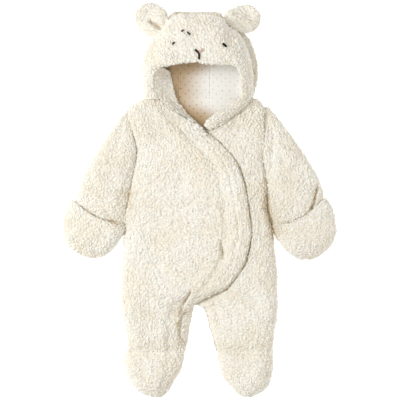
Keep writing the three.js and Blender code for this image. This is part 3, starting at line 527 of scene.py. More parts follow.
# top of the back's cloth, with the leg seam rolled forward on the right leg
def backTop(u, v, at, rightSide, rolled=True):
    full = fullness(u, v, at, rightSide)
    flat = mix(body["backSeam"], body["backCloth"], full) - ankleDip(v)
    if rightSide and rolled:
        crease = mix(at["under"], at["wrap"], 0.58) - 3.0
        across = np.clip((u - crease) / (at["wrap"] - crease), 0, 1)
        along = smooth((v - body["rolledFrom"] + 3) / 12) * smooth((body["ankle"] - 2 - v) / 14)
        flat = flat + body["legRoll"] * np.sin(np.pi * across) ** 0.7 * along
    return flat


frontCreases = [
    (190.5, 291, 181, 309, 2.6, 3.6),
    (220.7, 242, 223.5, 257, 2.4, 3.2), (215, 307, 219, 323, 3, 6), (233, 350, 262, 349, 1.5, 6),
    (150, 118, 160, 140, 2, 12), (140, 300, 160, 318, 1.5, 10), (146, 232, 158, 262, 1.2, 14),
    (180, 175, 186, 205, 1.2, 13), (205, 262, 190, 284, 1.5, 9), (250, 292, 262, 312, 1.4, 9),
    (255, 205, 262, 232, 1.2, 7), (140, 262, 132, 284, 1.4, 9),
]


def footLift(full, v):
    return body["footRise"] * smooth((v - body["ankle"]) * unit / 24) * full


# top of the under front: it thins to its hidden edge beneath the wrap and to the crotch
def underTop(u, v, at):
    hidden = (u < at["wrap"]) & (v < body["crotch"])
    full = np.where(hidden, fullness(u, v, at, True), fullness(u, v, at, False))
    base = np.where(hidden, backTop(u, v, at, True), backTop(u, v, at, False)) + sizes["gap"]
    thick = np.where(hidden, mix(body["hiddenEdge"], body["underCloth"], smooth((u - at["under"]) * unit / 34)),
                     body["frontCloth"])
    toEnds = np.where(hidden, smooth((body["crotch"] - v) * unit / 24) * smooth((v - body["neckEnd"] + 1) / 14), 1.0)
    inBody = smooth((v - body["neckEnd"]) / 8) * smooth((body["crotch"] - v) / 10)
    dip = body["edgeDip"] * inBody * bell((u - at["wrap"]) * unit - 0.5, 2.4)
    thin = np.where(hidden, body["hiddenEdge"], body["seamCloth"] + 2.0 * body["armholeCloth"] * armhole(v, 104, 236))
    height = mix(thin, thick, full * toEnds) - np.where(hidden, 0, dip)
    return base + height + footLift(full, v) - 2.5 * ankleDip(v) * full - troughs(toX(u), toY(v), frontCreases)


def wrapBottom(u, v, at):
    over = (v > body["neckEnd"] - 1) & (v < body["crotch"]) & (u > at["under"])
    return np.where(over, underTop(u, v, at), backTop(u, v, at, True, False)) + sizes["gap"]


# top of the wrap: cloth on what lies under it, the raised edge band, the groove beside it and the rounded edge
def wrapTop(u, v, at):
    full = fullness(u, v, at, True)
    toEdge = (at["wrap"] - u) * unit
    overUnder = smooth((u - at["under"]) * unit / 12)
    onLeg = smooth((v - body["crotch"] + 8) / 14)
    nearEdge = smooth(1 - toEdge / 62) * smooth((v - 126) / 20) * (1 - onLeg)
    thin = body["seamCloth"] + body["armholeCloth"] * armhole(v, 108, 228)
    height = mix(thin, body["frontCloth"] - 3 * overUnder - (body["edgeThinning"] - 3) * nearEdge, full)
    along = smooth((v - 140) / 24) * smooth((290 - v) / 30)
    band = body["bandRise"] * along * smooth((25 - toEdge) / 8)
    groove = body["bandGroove"] * along * bell(toEdge - 21, 2.6)
    edge = body["wrapRounding"] * (1 - roundOff(toEdge, body["edgeReach"]))
    edge = edge * mix(0.25, 1, smooth((v - 124) / 14))
    toCrease = (wrapInner(at, v) - u) * unit
    leg = body["creaseRounding"] * (1 - roundOff(toCrease, 9)) * smooth((348 - v) / 10)
    height = height + mix(band - groove - edge, -leg, onLeg)
    return wrapBottom(u, v, at) + height + footLift(full, v) - 2.5 * ankleDip(v) * full - troughs(toX(u), toY(v), frontCreases)


# spacing that is finer towards both ends, where the cloth rounds off
def edgeSpacing(count):
    t = np.linspace(0, 1, count)
    return mix(t, (1 - np.cos(np.pi * t)) / 2, 0.45)


# a grid between two outlines, from level v0 to v1, with its face's height given by a function of place
def panel(v0, v1, left, right, heightOf, across, dense=1.0):
    rows = max(int((v1 - v0) * unit / body["grid"]), 8)
    v = np.linspace(v0, v1, rows)
    at = levelAt(v)
    v = v[:, None]
    t = edgeSpacing(across)[None, :]
    u = mix(left(at, v), right(at, v), t)
    v = np.broadcast_to(v, u.shape)
    return np.stack([toX(u), toY(v), heightOf(u, v, at)], axis=-1)


# the same over two spans side by side, with an inner line between them and points of its own for each
def twoSpans(v0, v1, left, inner, right, heightOf, counts):
    rows = max(int((v1 - v0) * unit / body["grid"]), 8)
    v = np.linspace(v0, v1, rows)
    at = levelAt(v)
    v = v[:, None]
    first = mix(left(at, v), inner(at, v), np.linspace(0, 1, counts[0])[None, :])
    second = mix(inner(at, v), right(at, v), edgeSpacing(counts[1] + 1)[None, 1:])
    u = np.concatenate([first, second], axis=1)
    v = np.broadcast_to(v, u.shape)
    return np.stack([toX(u), toY(v), heightOf(u, v, at)], axis=-1)


# how many points a width in photograph units takes
def pointsFor(width):
    return int(width * unit / body["grid"])


def bodyPiece(name, v0, v1, left, right, topOf, bottomOf, width, amount=1.0, underside=0.0):
    top = panel(v0, v1, left, right, topOf, pointsFor(width))
    bottom = panel(v0, v1, left, right, bottomOf, pointsFor(width) // 4)
    return cloth(name, top, bottom, fleece, amount, underside)


def backBottomRight(u, v, at):
    return (1 - fullness(u, v, at, True)) * body["backLift"]


def backBottomLeft(u, v, at):
    return (1 - fullness(u, v, at, False)) * body["backLift"]


# the pile of two pieces meets over their seam, so each runs on a little there
lap = 1.1


def armhole(v, first, last):
    return smooth((v - first) / 6) * smooth((last - v) / 6)


sideOf = lambda at, v: at["side"] - lap * armhole(v, 108, 228)
farOf = lambda at, v: at["far"] + lap * armhole(v, 104, 236)
wrapOf = lambda at, v: at["wrap"]
gapOf = lambda at, v: at["gap"]
middle = 197.8
backInnerRight = lambda at, v: np.where(v < body["crotch"], middle - 0.05, at["wrap"])
backInnerLeft = lambda at, v: np.where(v < body["crotch"], middle + 0.05, at["gap"])
creaseOf = lambda at, v: mix(at["under"], at["wrap"], 0.58)
neckLap = lambda v: 1.0 * smooth((130 - v) / 4)
wrapInner = lambda at, v: mix(at["wrap"], creaseOf(at, v) + 1.0, smooth((v - 304.3) / 12) * smooth((352 - v) / 20)) + neckLap(v)

wrapObj = bodyPiece("fleece_wrap_front", 98.5, 351.5, sideOf, wrapInner, wrapTop, wrapBottom, 130)
standsFor(wrapObj, ["front_right_wrap"])



# the under front runs on beneath the wrap between the neck and the crotch, with fewer points where it is hidden
def underBottom(u, v, at):
    hidden = (u < at["wrap"]) & (v < body["crotch"])
    return np.where(hidden, backTop(u, v, at, True), backTop(u, v, at, False)) + sizes["gap"]


hiddenFrom = lambda at, v: np.where((v > body["neckEnd"]) & (v < body["crotch"]), at["under"], at["gap"] - lap - 0.01)
besideWrap = lambda v: smooth((v - body["neckEnd"]) / 6) * smooth((body["crotch"] - 1 - v) / 6)
visibleFrom = lambda at, v: mix(at["gap"] - lap * np.where(v < body["neckEnd"], 1.4, 1.0), at["wrap"] - 1.6, besideWrap(v))
underObj = cloth("fleece_under_front", twoSpans(98.5, 351.5, hiddenFrom, visibleFrom, farOf, underTop, (14, 96)),
                 twoSpans(98.5, 351.5, hiddenFrom, visibleFrom, farOf, underBottom, (8, 24)), fleece)
standsFor(underObj, ["front_left_under"])

# the back is two halves that meet on the middle line, in one mesh; the rolled seam on the right leg has more points
def backHalf(left, inner, right, topOf, bottomOf, counts):
    top = twoSpans(98.5, 351.5, left, inner, right, topOf, counts)
    bottom = twoSpans(98.5, 351.5, left, inner, right, bottomOf, (20, 12))
    grid = np.concatenate([top, bottom[:, ::-1]], axis=1)
    # no pile under the neck's lining
    mask = np.concatenate([smooth((toY(129) - top[..., 1]) / 8), 0.35 * smooth((toY(98.5) - bottom[..., 1]) / 8)], axis=1)
    return piled("back_half", grid, mask, fleece)


def backPiece():
    return joinMeshes("fleece_back", [
        backHalf(lambda at, v: at["side"], lambda at, v: np.minimum(creaseOf(at, v) - 3, middle - 20), backInnerRight,
                 lambda u, v, at: backTop(u, v, at, True), backBottomRight, (34, 30)),
        backHalf(backInnerLeft, lambda at, v: mix(backInnerLeft(at, v), at["far"], 0.5), lambda at, v: at["far"],
                 lambda u, v, at: backTop(u, v, at, False), backBottomLeft, (20, 26)),
    ])


def joinMeshes(name, parts):
    points, faces, shade = [], [], []
    start = 0
    for part in parts:
        mesh = part.data
        co = np.empty(len(mesh.vertices) * 3)
        mesh.vertices.foreach_get("co", co)
        tone = np.empty(len(mesh.vertices))
        mesh.attributes["pile"].data.foreach_get("value", tone)
        points.append(co.reshape(-1, 3) * 1000)
        shade.append(tone)
        faces += [[start + v for v in face.vertices] for face in mesh.polygons]
        start += len(mesh.vertices)
        material = mesh.materials[0]
        finished.pop(part.name, None)
        bpy.data.objects.remove(part)
    return addMesh(name, np.concatenate(points), faces, np.concatenate(shade), material)


backObj = backPiece()
standsFor(backObj, ["back"])

footParts = [
    ("foot_upper_right", "fleece_foot_upper_right", sideOf, wrapOf, wrapTop,
     lambda u, v, at: backTop(u, v, at, True) + sizes["gap"], 60, 1.0, 0.0),
    ("foot_upper_left", "fleece_foot_upper_left", gapOf, farOf, underTop,
     lambda u, v, at: backTop(u, v, at, False) + sizes["gap"], 56, 1.0, 0.0),
    ("foot_sole_right", "fleece_foot_sole_right", sideOf, wrapOf, lambda u, v, at: backTop(u, v, at, True),
     backBottomRight, 60, 0.8, 0.35),
    ("foot_sole_left", "fleece_foot_sole_left", gapOf, farOf, lambda u, v, at: backTop(u, v, at, False),
     backBottomLeft, 56, 0.8, 0.35),
]
for node, name, left, right, topOf, bottomOf, width, amount, underside in footParts:
    made = bodyPiece(name, 350.5, 397.4, left, right, topOf, bottomOf, width, amount, underside)
    standsFor(made, [node])
print("body and feet made")

# ---- sleeves and mitts: flattened tubes, each section from the outer side to the side near the body

sleeveNames = "outX outY inX inY high low bow cloth"
rightSleeve = table(sleeveNames, [
    (124.5, 112.6, 127.6, 113.6, 23, 8, 0, 13), (114.5, 125, 130.2, 126, 27, 3, 0, 13), (105.5, 138, 133.2, 138.5, 31, 0, 0, 13),
    (98.6, 150, 135.2, 151, 33, 0, 0, 13), (90.6, 161.5, 134.6, 163, 34, 0, 0, 13), (84.4, 172, 132.8, 175, 34, 0, 0, 13),
    (79.6, 184, 130.6, 187, 33, 0, 1, 13), (77, 192, 128.6, 198.5, 32, 0, 3, 13), (75.4, 197.5, 126.6, 209, 30, 2, 5, 13),
    (74.8, 203.6, 120.4, 221, 25, 7, 6, 13), (75.6, 212, 117, 229, 22, 8, 5, 13),
])
leftSleeve = table(sleeveNames, [
    (268.5, 107, 263.1, 107.6, 22, 8, 0, 13), (277, 117.2, 263.4, 118.5, 25, 3, 0, 13), (285.6, 128, 263, 131, 27, 0, 0, 13),
    (294.4, 140, 262.7, 144, 30, 0, 0, 13), (303, 152.4, 262.5, 157, 34, 0, 0, 13), (311, 165.4, 263.5, 169.6, 34, 0, 0, 13),
    (317.8, 177, 265.3, 182.6, 33, 0, 1, 13), (322.4, 188.6, 265.6, 196, 32, 0, 3, 13), (323.4, 195.4, 266.8, 210, 30, 5, 5, 13),
    (321.8, 204.4, 276, 226, 25, 8.8, 7, 13), (320.6, 213, 281, 233, 22, 9, 6, 13),
])
rightMitt = table(sleeveNames, [
    (70.4, 200.6, 125.4, 224.6, 33, 0, 6, 6), (65.4, 209.6, 125.2, 228.6, 35, 0, 5, 6.5), (62.4, 222.4, 123.4, 234, 36, 0, 3, 9),
    (62.6, 235, 117.6, 242, 36, 0, 2, 13), (67.8, 245, 111.4, 250, 33, 0, 1, 13), (76.6, 252.6, 104.4, 255.4, 27, 3, 0, 11),
    (86, 257.2, 97, 258, 19, 7, 0, 7),
])
leftMitt = table(sleeveNames, [
    (326.6, 199, 270.4, 226, 33, 0, 8, 6), (332.4, 208, 272.8, 231.4, 35, 0, 6, 6.5), (335.8, 221.6, 276.4, 237, 36, 0, 3, 9),
    (335.4, 234.6, 281.4, 243.6, 36, 0, 2, 13), (330, 246, 287, 250.6, 33, 0, 1, 13), (321, 254.6, 294, 256.6, 27, 3, 0, 11),
    (312, 259.2, 301, 259.8, 19, 7, 0, 7),
])
rightSleeve["inX"] += 1.2
leftSleeve["inX"] -= 0.7
rightSleeve["inX"][9], rightSleeve["inY"][9] = 125.4, 221.8
leftSleeve["inX"][9], leftSleeve["inY"][9] = 270.2, 224.6
rightSleeveFolds = [(129, 176, 124, 200, 2, 7), (100, 166, 116, 186, 1.6, 9), (107, 213, 116, 221, 3, 4), (88, 196, 104, 203, 1.6, 8)]
leftSleeveFolds = [(273.8, 136, 272.4, 150, 1.4, 3.4), (272.4, 152, 270.5, 174, 1.6, 4), (281, 150, 284, 162, 1.2, 5), (317.5, 187.5, 312, 208, 7, 3.2), (286, 176, 300, 168, 2, 9),
                   (276, 200, 292, 208, 2, 8)]
rightMittFolds = [(70, 222, 84, 230, 1.6, 7), (104, 232, 96, 246, 1.6, 8)]
leftMittFolds = [(317.5, 187.5, 312, 208, 7, 3.2), (300, 232, 318, 238, 1.6, 8), (330, 216, 322, 226, 1.6, 7)]


# rounded box section: the cosine and sine of the angle, each to a power below 1, across and up from the middle
def tubeRings(rows, angles, inner, folds):
    col = {name: values[:, None] for name, values in rows.items()}
    cloth_ = col["cloth"] if inner else 0 * col["cloth"]
    cx, cy = (toX(col["outX"]) + toX(col["inX"])) / 2, (toY(col["outY"]) + toY(col["inY"])) / 2
    dx, dy = (toX(col["inX"]) - toX(col["outX"])) / 2, (toY(col["inY"]) - toY(col["outY"])) / 2
    half = np.hypot(dx, dy)
    share = np.maximum(half - cloth_, half * 0.3) / half
    low = np.maximum(col["low"], 0)
    centre = mix(low, col["high"], 0.45)
    up, down = col["high"] - centre, centre - low
    c, s = np.cos(angles)[None, :], np.sin(angles)[None, :]
    power = np.where(c > 0, mix(0.62, 0.32, smooth((178 - col["inY"]) / 30)), 0.62)
    c, s = np.sign(c) * np.abs(c) ** power, np.sign(s) * np.abs(s) ** power
    x = cx + dx * share * c
    y = cy + dy * share * c - col["bow"] * unit * (1 - c * c)
    above = np.maximum(up - cloth_, up * 0.25)
    below = np.maximum(down * (1.0 if inner else 1.12) - cloth_, down * 0.25)
    z = centre + np.where(s > 0, above, below) * s
    if not inner:
        z = z - np.where(s > 0.2, troughs(x, y, folds) * s, 0)
    return np.stack([x, y, np.maximum(z, 0 if inner else low)], axis=-1)


# angles that space a section's points evenly along its length, with a given share on the upper half
def evenAngles(count, above):
    def half(first, last, points):
        a = np.linspace(first, last, 4001)
        x, y = (np.sign(f) * np.abs(f) ** 0.62 for f in (np.cos(a), np.sin(a)))
        run = np.concatenate([[0], np.cumsum(np.hypot(np.diff(x) * 50, np.diff(y) * 17))])
        return np.interp(np.linspace(0, run[-1], points, endpoint=False), run, a)
    top = int(count * above)
    return np.concatenate([half(0, np.pi, top), half(np.pi, 2 * np.pi, count - top)])


# a tube open at both ends, or a cup whose far end is closed by rings that shrink to a point
def tube(name, rows, steps, folds, closed, count=160):
    fine = refine(runOn(rows, 0.12 if closed else 0, 0 if closed else 0.1), steps)
    angles = evenAngles(count, 0.72)
    outer = tubeRings(fine, angles, False, folds)
    innerRows = {key: values[:-steps] if closed else values for key, values in fine.items()}
    inner = tubeRings({key: values[::3] for key, values in innerRows.items()}, angles, True, folds)
    if closed:
        outer = np.concatenate([outer, shrink(outer[-1], 5)])
        inner = np.concatenate([inner, shrink(inner[-1], 4)])
        grid = np.concatenate([inner[::-1], outer])
    else:
        grid = np.concatenate([inner[::-1], outer, inner[-1:]])
    # the pile stands on the outside only, and fades at the rim
    out = np.zeros(len(grid))
    out[len(inner):len(inner) + len(outer)] = 1
    out[:len(inner)] = 0
    if not closed:
        out[-1] = 0
    mask = np.broadcast_to(out[:, None], grid.shape[:2]).copy()
    return piledTube(name, grid, mask, closed)


# rings that draw in to their own middle
def shrink(ring, count):
    middle_ = ring.mean(axis=0)
    shares = np.linspace(1, 0.02, count + 1)[1:]
    return np.stack([mix(middle_, ring, share) for share in shares])


def piledTube(name, grid, mask, closed):
    rows, count, _ = grid.shape
    normals = ringNormals(grid)
    a = grid[:-1].reshape(-1, 3)
    volume = 0.0
    for first, second in ((0, 1),):
        p = grid[:-1]
        q = np.roll(grid[:-1], -1, axis=1)
        r = np.roll(grid[1:], -1, axis=1)
        s = grid[1:]
        volume += np.einsum("ijk,ijk->", p, np.cross(q, r)) + np.einsum("ijk,ijk->", p, np.cross(r, s))
    # the cross product of the row step and the ring step is minus that of a quad's own corners
    if volume > 0:
        normals = -normals
    height, tone = pile(grid.reshape(-1, 3))
    height = height.reshape(rows, count) * mask
    tone = np.where(mask > 0, tone.reshape(rows, count), 0.6)
    sink = (grid[..., 2] < 1.0)
    moved = grid + normals * height[..., None]
    moved[..., 2] = np.where(sink, grid[..., 2], np.maximum(moved[..., 2], 0.2))
    if closed:
        return ringMesh(name, moved, tone, fleece)
    return loopMesh(name, moved, tone, fleece)


# a grid closed both ways, like a ring tube
def loopMesh(name, grid, shade, material):
    grid, shade = grid[:-1], shade[:-1]
    rows, count, _ = grid.shape
    i, j = np.meshgrid(np.arange(rows), np.arange(count), indexing="ij")
    n, m = (j + 1) % count, (i + 1) % rows
    quads = np.stack([i * count + j, i * count + n, m * count + n, m * count + j], axis=-1).reshape(-1, 4)
    points = grid.reshape(-1, 3)
    a, b, c, d = (points[quads[:, k]] for k in range(4))
    volume = np.einsum("ij,ij->", a, np.cross(b, c)) + np.einsum("ij,ij->", a, np.cross(c, d))
    if volume < 0:
        quads = quads[:, ::-1]
    return addMesh(name, points, quads.tolist(), shade.reshape(-1), material)


for node, rows, folds, closed, flat, area in (
    ("sleeve_right", rightSleeve, rightSleeveFolds, False, (0.2, 0.2), 0.0305),
        ("sleeve_left", leftSleeve, leftSleeveFolds, False, (0.2, 0.21), 0.034),
        ("mitt_right", rightMitt, rightMittFolds, True, (0.2, 0.1), 0.0165),
        ("mitt_left", leftMitt, leftMittFolds, True, (0.2, 0.1), 0.017)):
    made = tube("fleece_" + node, rows, 16 if closed else 18, folds, closed)
    standsFor(made, [node])
print("sleeves and mitts made")

# ---- hood

hoodBackRows = table("y left right", [
    (11.5, 180, 214), (13, 172, 221), (16.5, 169.5, 223), (21, 168, 225.4), (27, 163.6, 233), (32, 157.6, 241.6),
    (38, 151.8, 248.6), (47, 146, 252.4), (57, 141.8, 255.8), (68, 140, 257.4), (79, 141.8, 257.2), (90, 144, 255.2),
    (98.8, 145.4, 252.8),
])
hood = {
    "cloth": 12, "seam": 21, "lift": 15, "shelf": 9, "roll": 34, "foreheadRoll": 46, "sideWall": 8,
    "seamCloth": 6, "facingCloth": 9, "lining": 1.5, "liningSeams": (178.5, 210),
}


# height of the hood back's upper face: a shelf at the outline, then down to the cloth's thickness
def hoodTop(inside):
    return mix(hood["seam"], hood["cloth"], smooth((inside - hood["shelf"]) / (hood["roll"] - hood["shelf"])))


def hoodBack():
    fine = refine(hoodBackRows, 10)
    v = np.linspace(11.5, 98.8, 100)
    left = np.interp(v, fine["y"], fine["left"])[:, None]
    right = np.interp(v, fine["y"], fine["right"])[:, None]

    def face(count, topSide):
        u = mix(left, right, edgeSpacing(count)[None, :])
        inside = np.minimum(np.minimum(u - left, right - u), v[:, None] - 10.5) * unit
        z = hoodTop(inside) if topSide else hood["lift"] * (1 - roundOff(inside, hood["roll"]))
        return np.stack([toX(u), toY(np.broadcast_to(v[:, None], u.shape)), z], axis=-1)
    return cloth("fleece_hood_back", face(132, True), face(60, False), fleece, 0.9, 0.35)


standsFor(hoodBack(), ["hood_back"])


# the lining lies in the hood like a shallow bowl: a parabola to each side, back down under the rim
def bowl(u, v):
    toLeft = 7 * np.clip((203 - u) / 31, 0, 1) ** 2 * smooth((u - 158) / 14)
    toRight = 4 * np.clip((u - 203) / 37, 0, 1) ** 2
    return (toLeft + toRight) * smooth((99 - v) / 16)


# the lining's painted shade: 0 where it runs in under the rim and down to the neck, 1 where it lies open
def liningPaintedShade(u, v):
    start = 176 + 14 * (1 - smooth((v - 64) / 14)) + 26 * smooth((v - 100) / 22)
    return smooth((u - start) / 36)


# a lining panel on the hood's back, between two columns of the table's width
def liningPanel(name, fromU, toU, v0, v1, zOf, node):
    v = np.linspace(v0, v1, 60)
    a, b = fromU(v)[:, None], toU(v)[:, None]
    u = mix(a, b, edgeSpacing(44)[None, :])
    vv = np.broadcast_to(v[:, None], u.shape)
    low = zOf(u, vv) + bowl(u, vv) + sizes["gap"]
    # the cloth thins into its seams
    toSeam = np.minimum(np.minimum(u - a, b - u), np.minimum(vv - v0, v1 - vv)) * unit
    pressed = 0.7 + 0.3 * roundOff(toSeam, 2.4)
    ripple = 0.7 * softNoise(np.stack([toX(u), toY(vv), 0 * u], axis=-1).reshape(-1, 3), 22.0, 3).reshape(u.shape)
    top = np.stack([toX(u), toY(vv), low + (hood["lining"] + np.maximum(ripple, -0.6)) * pressed], axis=-1)
    bottom = np.stack([toX(u), toY(vv), low], axis=-1)
    grid = np.concatenate([top, bottom[:, ::-1]], axis=1)
    # painted shade, carried in the pile attribute
    tone = liningPaintedShade(u, vv)
    made = ringMesh(name, grid, np.concatenate([tone, tone[:, ::-1]], axis=1), jersey)
    standsFor(made, [node])
    return made


def hoodEdges(v):
    fine = refine(hoodBackRows, 10)
    return np.interp(v, fine["y"], fine["left"]), np.interp(v, fine["y"], fine["right"])


def hoodHeight(u, v):
    left, right = hoodEdges(v)
    flat = hoodTop(np.minimum(np.minimum(u - left, right - u), v - 10.5) * unit)
    return mix(flat, np.maximum(flat, body["backCloth"]), smooth((v - 88) / 10))


firstSeam, secondSeam = hood["liningSeams"]
seamHalf = 0.03
liningPanel("lining_right_panel", lambda v: mix(hoodEdges(v)[0], firstSeam, 0.25), lambda v: 0 * v + firstSeam - seamHalf,
            38, 99.2, hoodHeight, "hood_lining_right")
liningPanel("lining_center_panel", lambda v: 0 * v + firstSeam + seamHalf, lambda v: 0 * v + secondSeam - seamHalf,
            38, 99.2, hoodHeight, "hood_lining_center")
liningPanel("lining_left_panel", lambda v: 0 * v + secondSeam + seamHalf, lambda v: mix(hoodEdges(v)[1], secondSeam, 0.25),
            38, 99.2, hoodHeight, "hood_lining_left")


def neckHeight(u, v):
    at = {name: col for name, col in zip(("side", "far", "wrap", "gap", "under"), (
        np.interp(v, fineLevels["y"], fineLevels[k]) for k in ("side", "far", "wrap", "gap", "under")))}
    return backTop(u, v, at, True) - 0.5


liningPanel("lining_back_neck", lambda v: np.interp(v, fineLevels["y"], fineLevels["wrap"]) + 0.3,
            lambda v: np.interp(v, fineLevels["y"], fineLevels["gap"]) - 0.3, 98.3, 127.5, neckHeight, "neck_lining")

hoodFrontRows = table("outX outY mouthX mouthY high tail low", [
    (144.2, 98.5, 158.4, 98.4, 40, 0, 21.6), (144, 91, 155, 91.5, 44, 0, 21.6), (142.4, 81, 153.6, 83.5, 48, 0, 21.6),
    (140.4, 69.5, 154, 76, 52, 0, 21.6), (141.8, 57, 156.8, 71.2, 55, 0, 21.6), (146.4, 46.5, 161, 68.8, 58, 0, 21.6),
    (153.2, 37, 166, 67.4, 60, 0, 21.6), (161.6, 29.4, 172, 66.4, 62, 0, 21.6), (168.6, 19.4, 179, 65.2, 62, 0, 21.6),
    (179, 15, 187, 64.2, 62, 0, 21.6), (190, 14.4, 195, 63.4, 62, 0, 21.6), (201, 14.4, 203, 64.6, 62, 0, 21.6),
    (212, 15, 211, 65.6, 62, 0, 21.6), (221.8, 18, 219, 65.8, 62, 0, 21.6), (229, 26, 227, 66, 61, 0, 21.6),
    (237.6, 31.6, 233.4, 67, 60, 0, 21.6), (243.8, 42, 237.4, 70.4, 58, 0, 21.6), (249.2, 55, 240, 76, 55, 0, 21.6),
    (252.4, 69, 241.2, 83, 52, 0, 21.6), (253.4, 82, 241.4, 90, 49, 0, 21.6), (252.2, 94.4, 239.4, 97.4, 47, 0.5, 21.6),
    (247.2, 103.6, 234, 103.2, 45, 1, 20.5), (240, 112, 226, 108, 44, 1, 18.4), (231, 118.6, 217, 112, 43, 1, 17.6),
    (222.4, 124.2, 210.4, 117.4, 42, 1, 17.6), (214.6, 128.2, 206.4, 122.4, 40, 1, 17.6), (208, 129.6, 204.8, 126.4, 36, 1, 17.6),
])
browCreases = [(178, 22, 172, 40, 2, 9), (226, 36, 240, 58, 1.6, 8), (150, 62, 156, 48, 1.6, 8), (205, 56, 222, 60, 1, 9)]


hoodFrontRows["edge"] = np.where(np.arange(len(hoodFrontRows["high"])) < 6, 1.2, 4.0)


# the arch from the outer seam to the opening's edge: a quarter round up to the edge's height, its edge rounded
def archFace(rows, t, topSide):
    col = {name: values[:, None] for name, values in rows.items()}
    width = np.hypot(col["mouthX"] - col["outX"], col["mouthY"] - col["outY"]) * unit
    x, y = toX(mix(col["outX"], col["mouthX"], t)), toY(mix(col["outY"], col["mouthY"], t))
    inside, toMouth = t * width, (1 - t) * width
    reach = np.minimum(hood["foreheadRoll"], width * 0.8)
    wall = np.minimum(hood["sideWall"], width * 0.3)
    seam = hood["seam"] + sizes["gap"]
    rounding = col["edge"] * (1 - roundOff(toMouth, 7))
    base = seam + hood["seamCloth"]
    crown = base + (col["high"] - base) * roundOff(inside, reach)
    if topSide:
        return np.stack([x, y, crown - rounding - troughs(x, y, browCreases)], axis=-1)
    ceiling = col["high"] - hood["cloth"]
    hollow = seam + (ceiling - seam) * roundOff(inside - wall, reach - wall * 0.5)
    laid = col["low"] + 4 * (1 - roundOff(inside, 12)) + 4 * (1 - roundOff(toMouth, 8))
    hollow = np.minimum(hollow, crown - hood["seamCloth"] + 0.5) + rounding
    return np.stack([x, y, mix(hollow, laid, np.clip(col["tail"], 0, 1))], axis=-1)


# the tail's outer edge and the neck's end reach over their neighbours
reachOut = 1 + np.where(hoodFrontRows["tail"] > 0, 1.1, 0) / np.hypot(hoodFrontRows["outX"] - hoodFrontRows["mouthX"],
                                                                    hoodFrontRows["outY"] - hoodFrontRows["mouthY"])
hoodFrontRows["outX"] = mix(hoodFrontRows["mouthX"], hoodFrontRows["outX"], reachOut)
hoodFrontRows["outY"] = mix(hoodFrontRows["mouthY"], hoodFrontRows["outY"], reachOut)
fineArch = refine(runOn(hoodFrontRows, 0.14, 0), 14)
hoodFrontObj = cloth("fleece_hood_front", archFace(fineArch, edgeSpacing(62)[None, :], True),
                     archFace(fineArch, edgeSpacing(26)[None, :], False), fleece)
standsFor(hoodFrontObj, ["hood_front"])

facingRows = table("rimX rimY liningX liningY high low rest", [
    (164.4, 69.4, 169, 71, 50, 28, 22), (160, 71, 170.2, 74, 49, 27, 22), (156.2, 75, 171.4, 78.4, 47, 26, 22),
    (155, 81, 172.6, 84, 44.5, 26, 21.6), (155.4, 88, 173.8, 90, 42, 25.5, 20.4), (157.6, 94.6, 175.2, 95.8, 39, 24, 18),
    (162.6, 100.4, 177.8, 101.4, 36, 22.5, 17.4), (169, 105.4, 182, 107, 34, 23.5, 17.4), (176.6, 110.8, 187, 113, 33, 24.5, 17.4),
    (185, 116.4, 192, 118.4, 32, 25.5, 17.4), (193.6, 121.8, 197, 123, 31, 26.5, 17.4),
])


# the facing slopes from the rim down to the lining, rounded at both edges
def facingFace(rows, t, topSide):
    col = {name: values[:, None] for name, values in rows.items()}
    count = len(rows["high"])
    x, y = toX(mix(col["rimX"], col["liningX"], t)), toY(mix(col["rimY"], col["liningY"], t))
    width = np.hypot(col["rimX"] - col["liningX"], col["rimY"] - col["liningY"]) * unit
    edge = np.minimum(t, 1 - t) * width
    surface = mix(col["high"], col["low"], smooth(t)) + 1.5 * (1 - t) - 1.5 * (1 - roundOff((1 - t) * width, 5))
    if topSide:
        return np.stack([x, y, surface], axis=-1)
    along = np.linspace(0, 1, count)[:, None]
    thick = mix(hood["facingCloth"], 5, along) - 4 * (1 - roundOff(edge, 5))
    rest = mix(hood["seam"] - 1.4, col["rest"], t)
    return np.stack([x, y, np.maximum(surface - thick, rest)], axis=-1)


facingRows["rimX"] = mix(facingRows["liningX"], facingRows["rimX"], 1.16)
facingRows["rimY"] = mix(facingRows["liningY"], facingRows["rimY"], 1.16)
fineFacing = refine(facingRows, 12)
facingObj = cloth("fleece_hood_facing", facingFace(fineFacing, edgeSpacing(32)[None, :], True),
                  facingFace(fineFacing, edgeSpacing(12)[None, :], False), fleece, 0.8)
standsFor(facingObj, ["hood_facing"])
print("hood made")

# ---- ears: two padded layers each

earNames = "fromX fromY toX toY bow"
rightEar = table(earNames, [
    (168, 16.8, 152, 36.8, -1.6), (166, 12, 146, 35, 0), (162, 7, 140, 30.4, 0), (156.4, 3.2, 135.8, 23, 0),
    (149.4, 1.6, 134.6, 15.4, 0), (142.4, 3.8, 136.2, 9.6, 0),
])
leftEar = table(earNames, [
    (224.2, 16, 244.4, 32.8, -1.7), (227, 11.6, 250, 32.2, 0), (233, 7.4, 256.4, 28.4, 0), (240.4, 4.8, 260.2, 22, 0),
    (248, 4, 260.4, 15.4, 0), (253.4, 5.8, 258.2, 10.6, 0),
])
ear = {"layer": 9, "edge": 3, "baseHeight": 22, "tipHeight": 9}


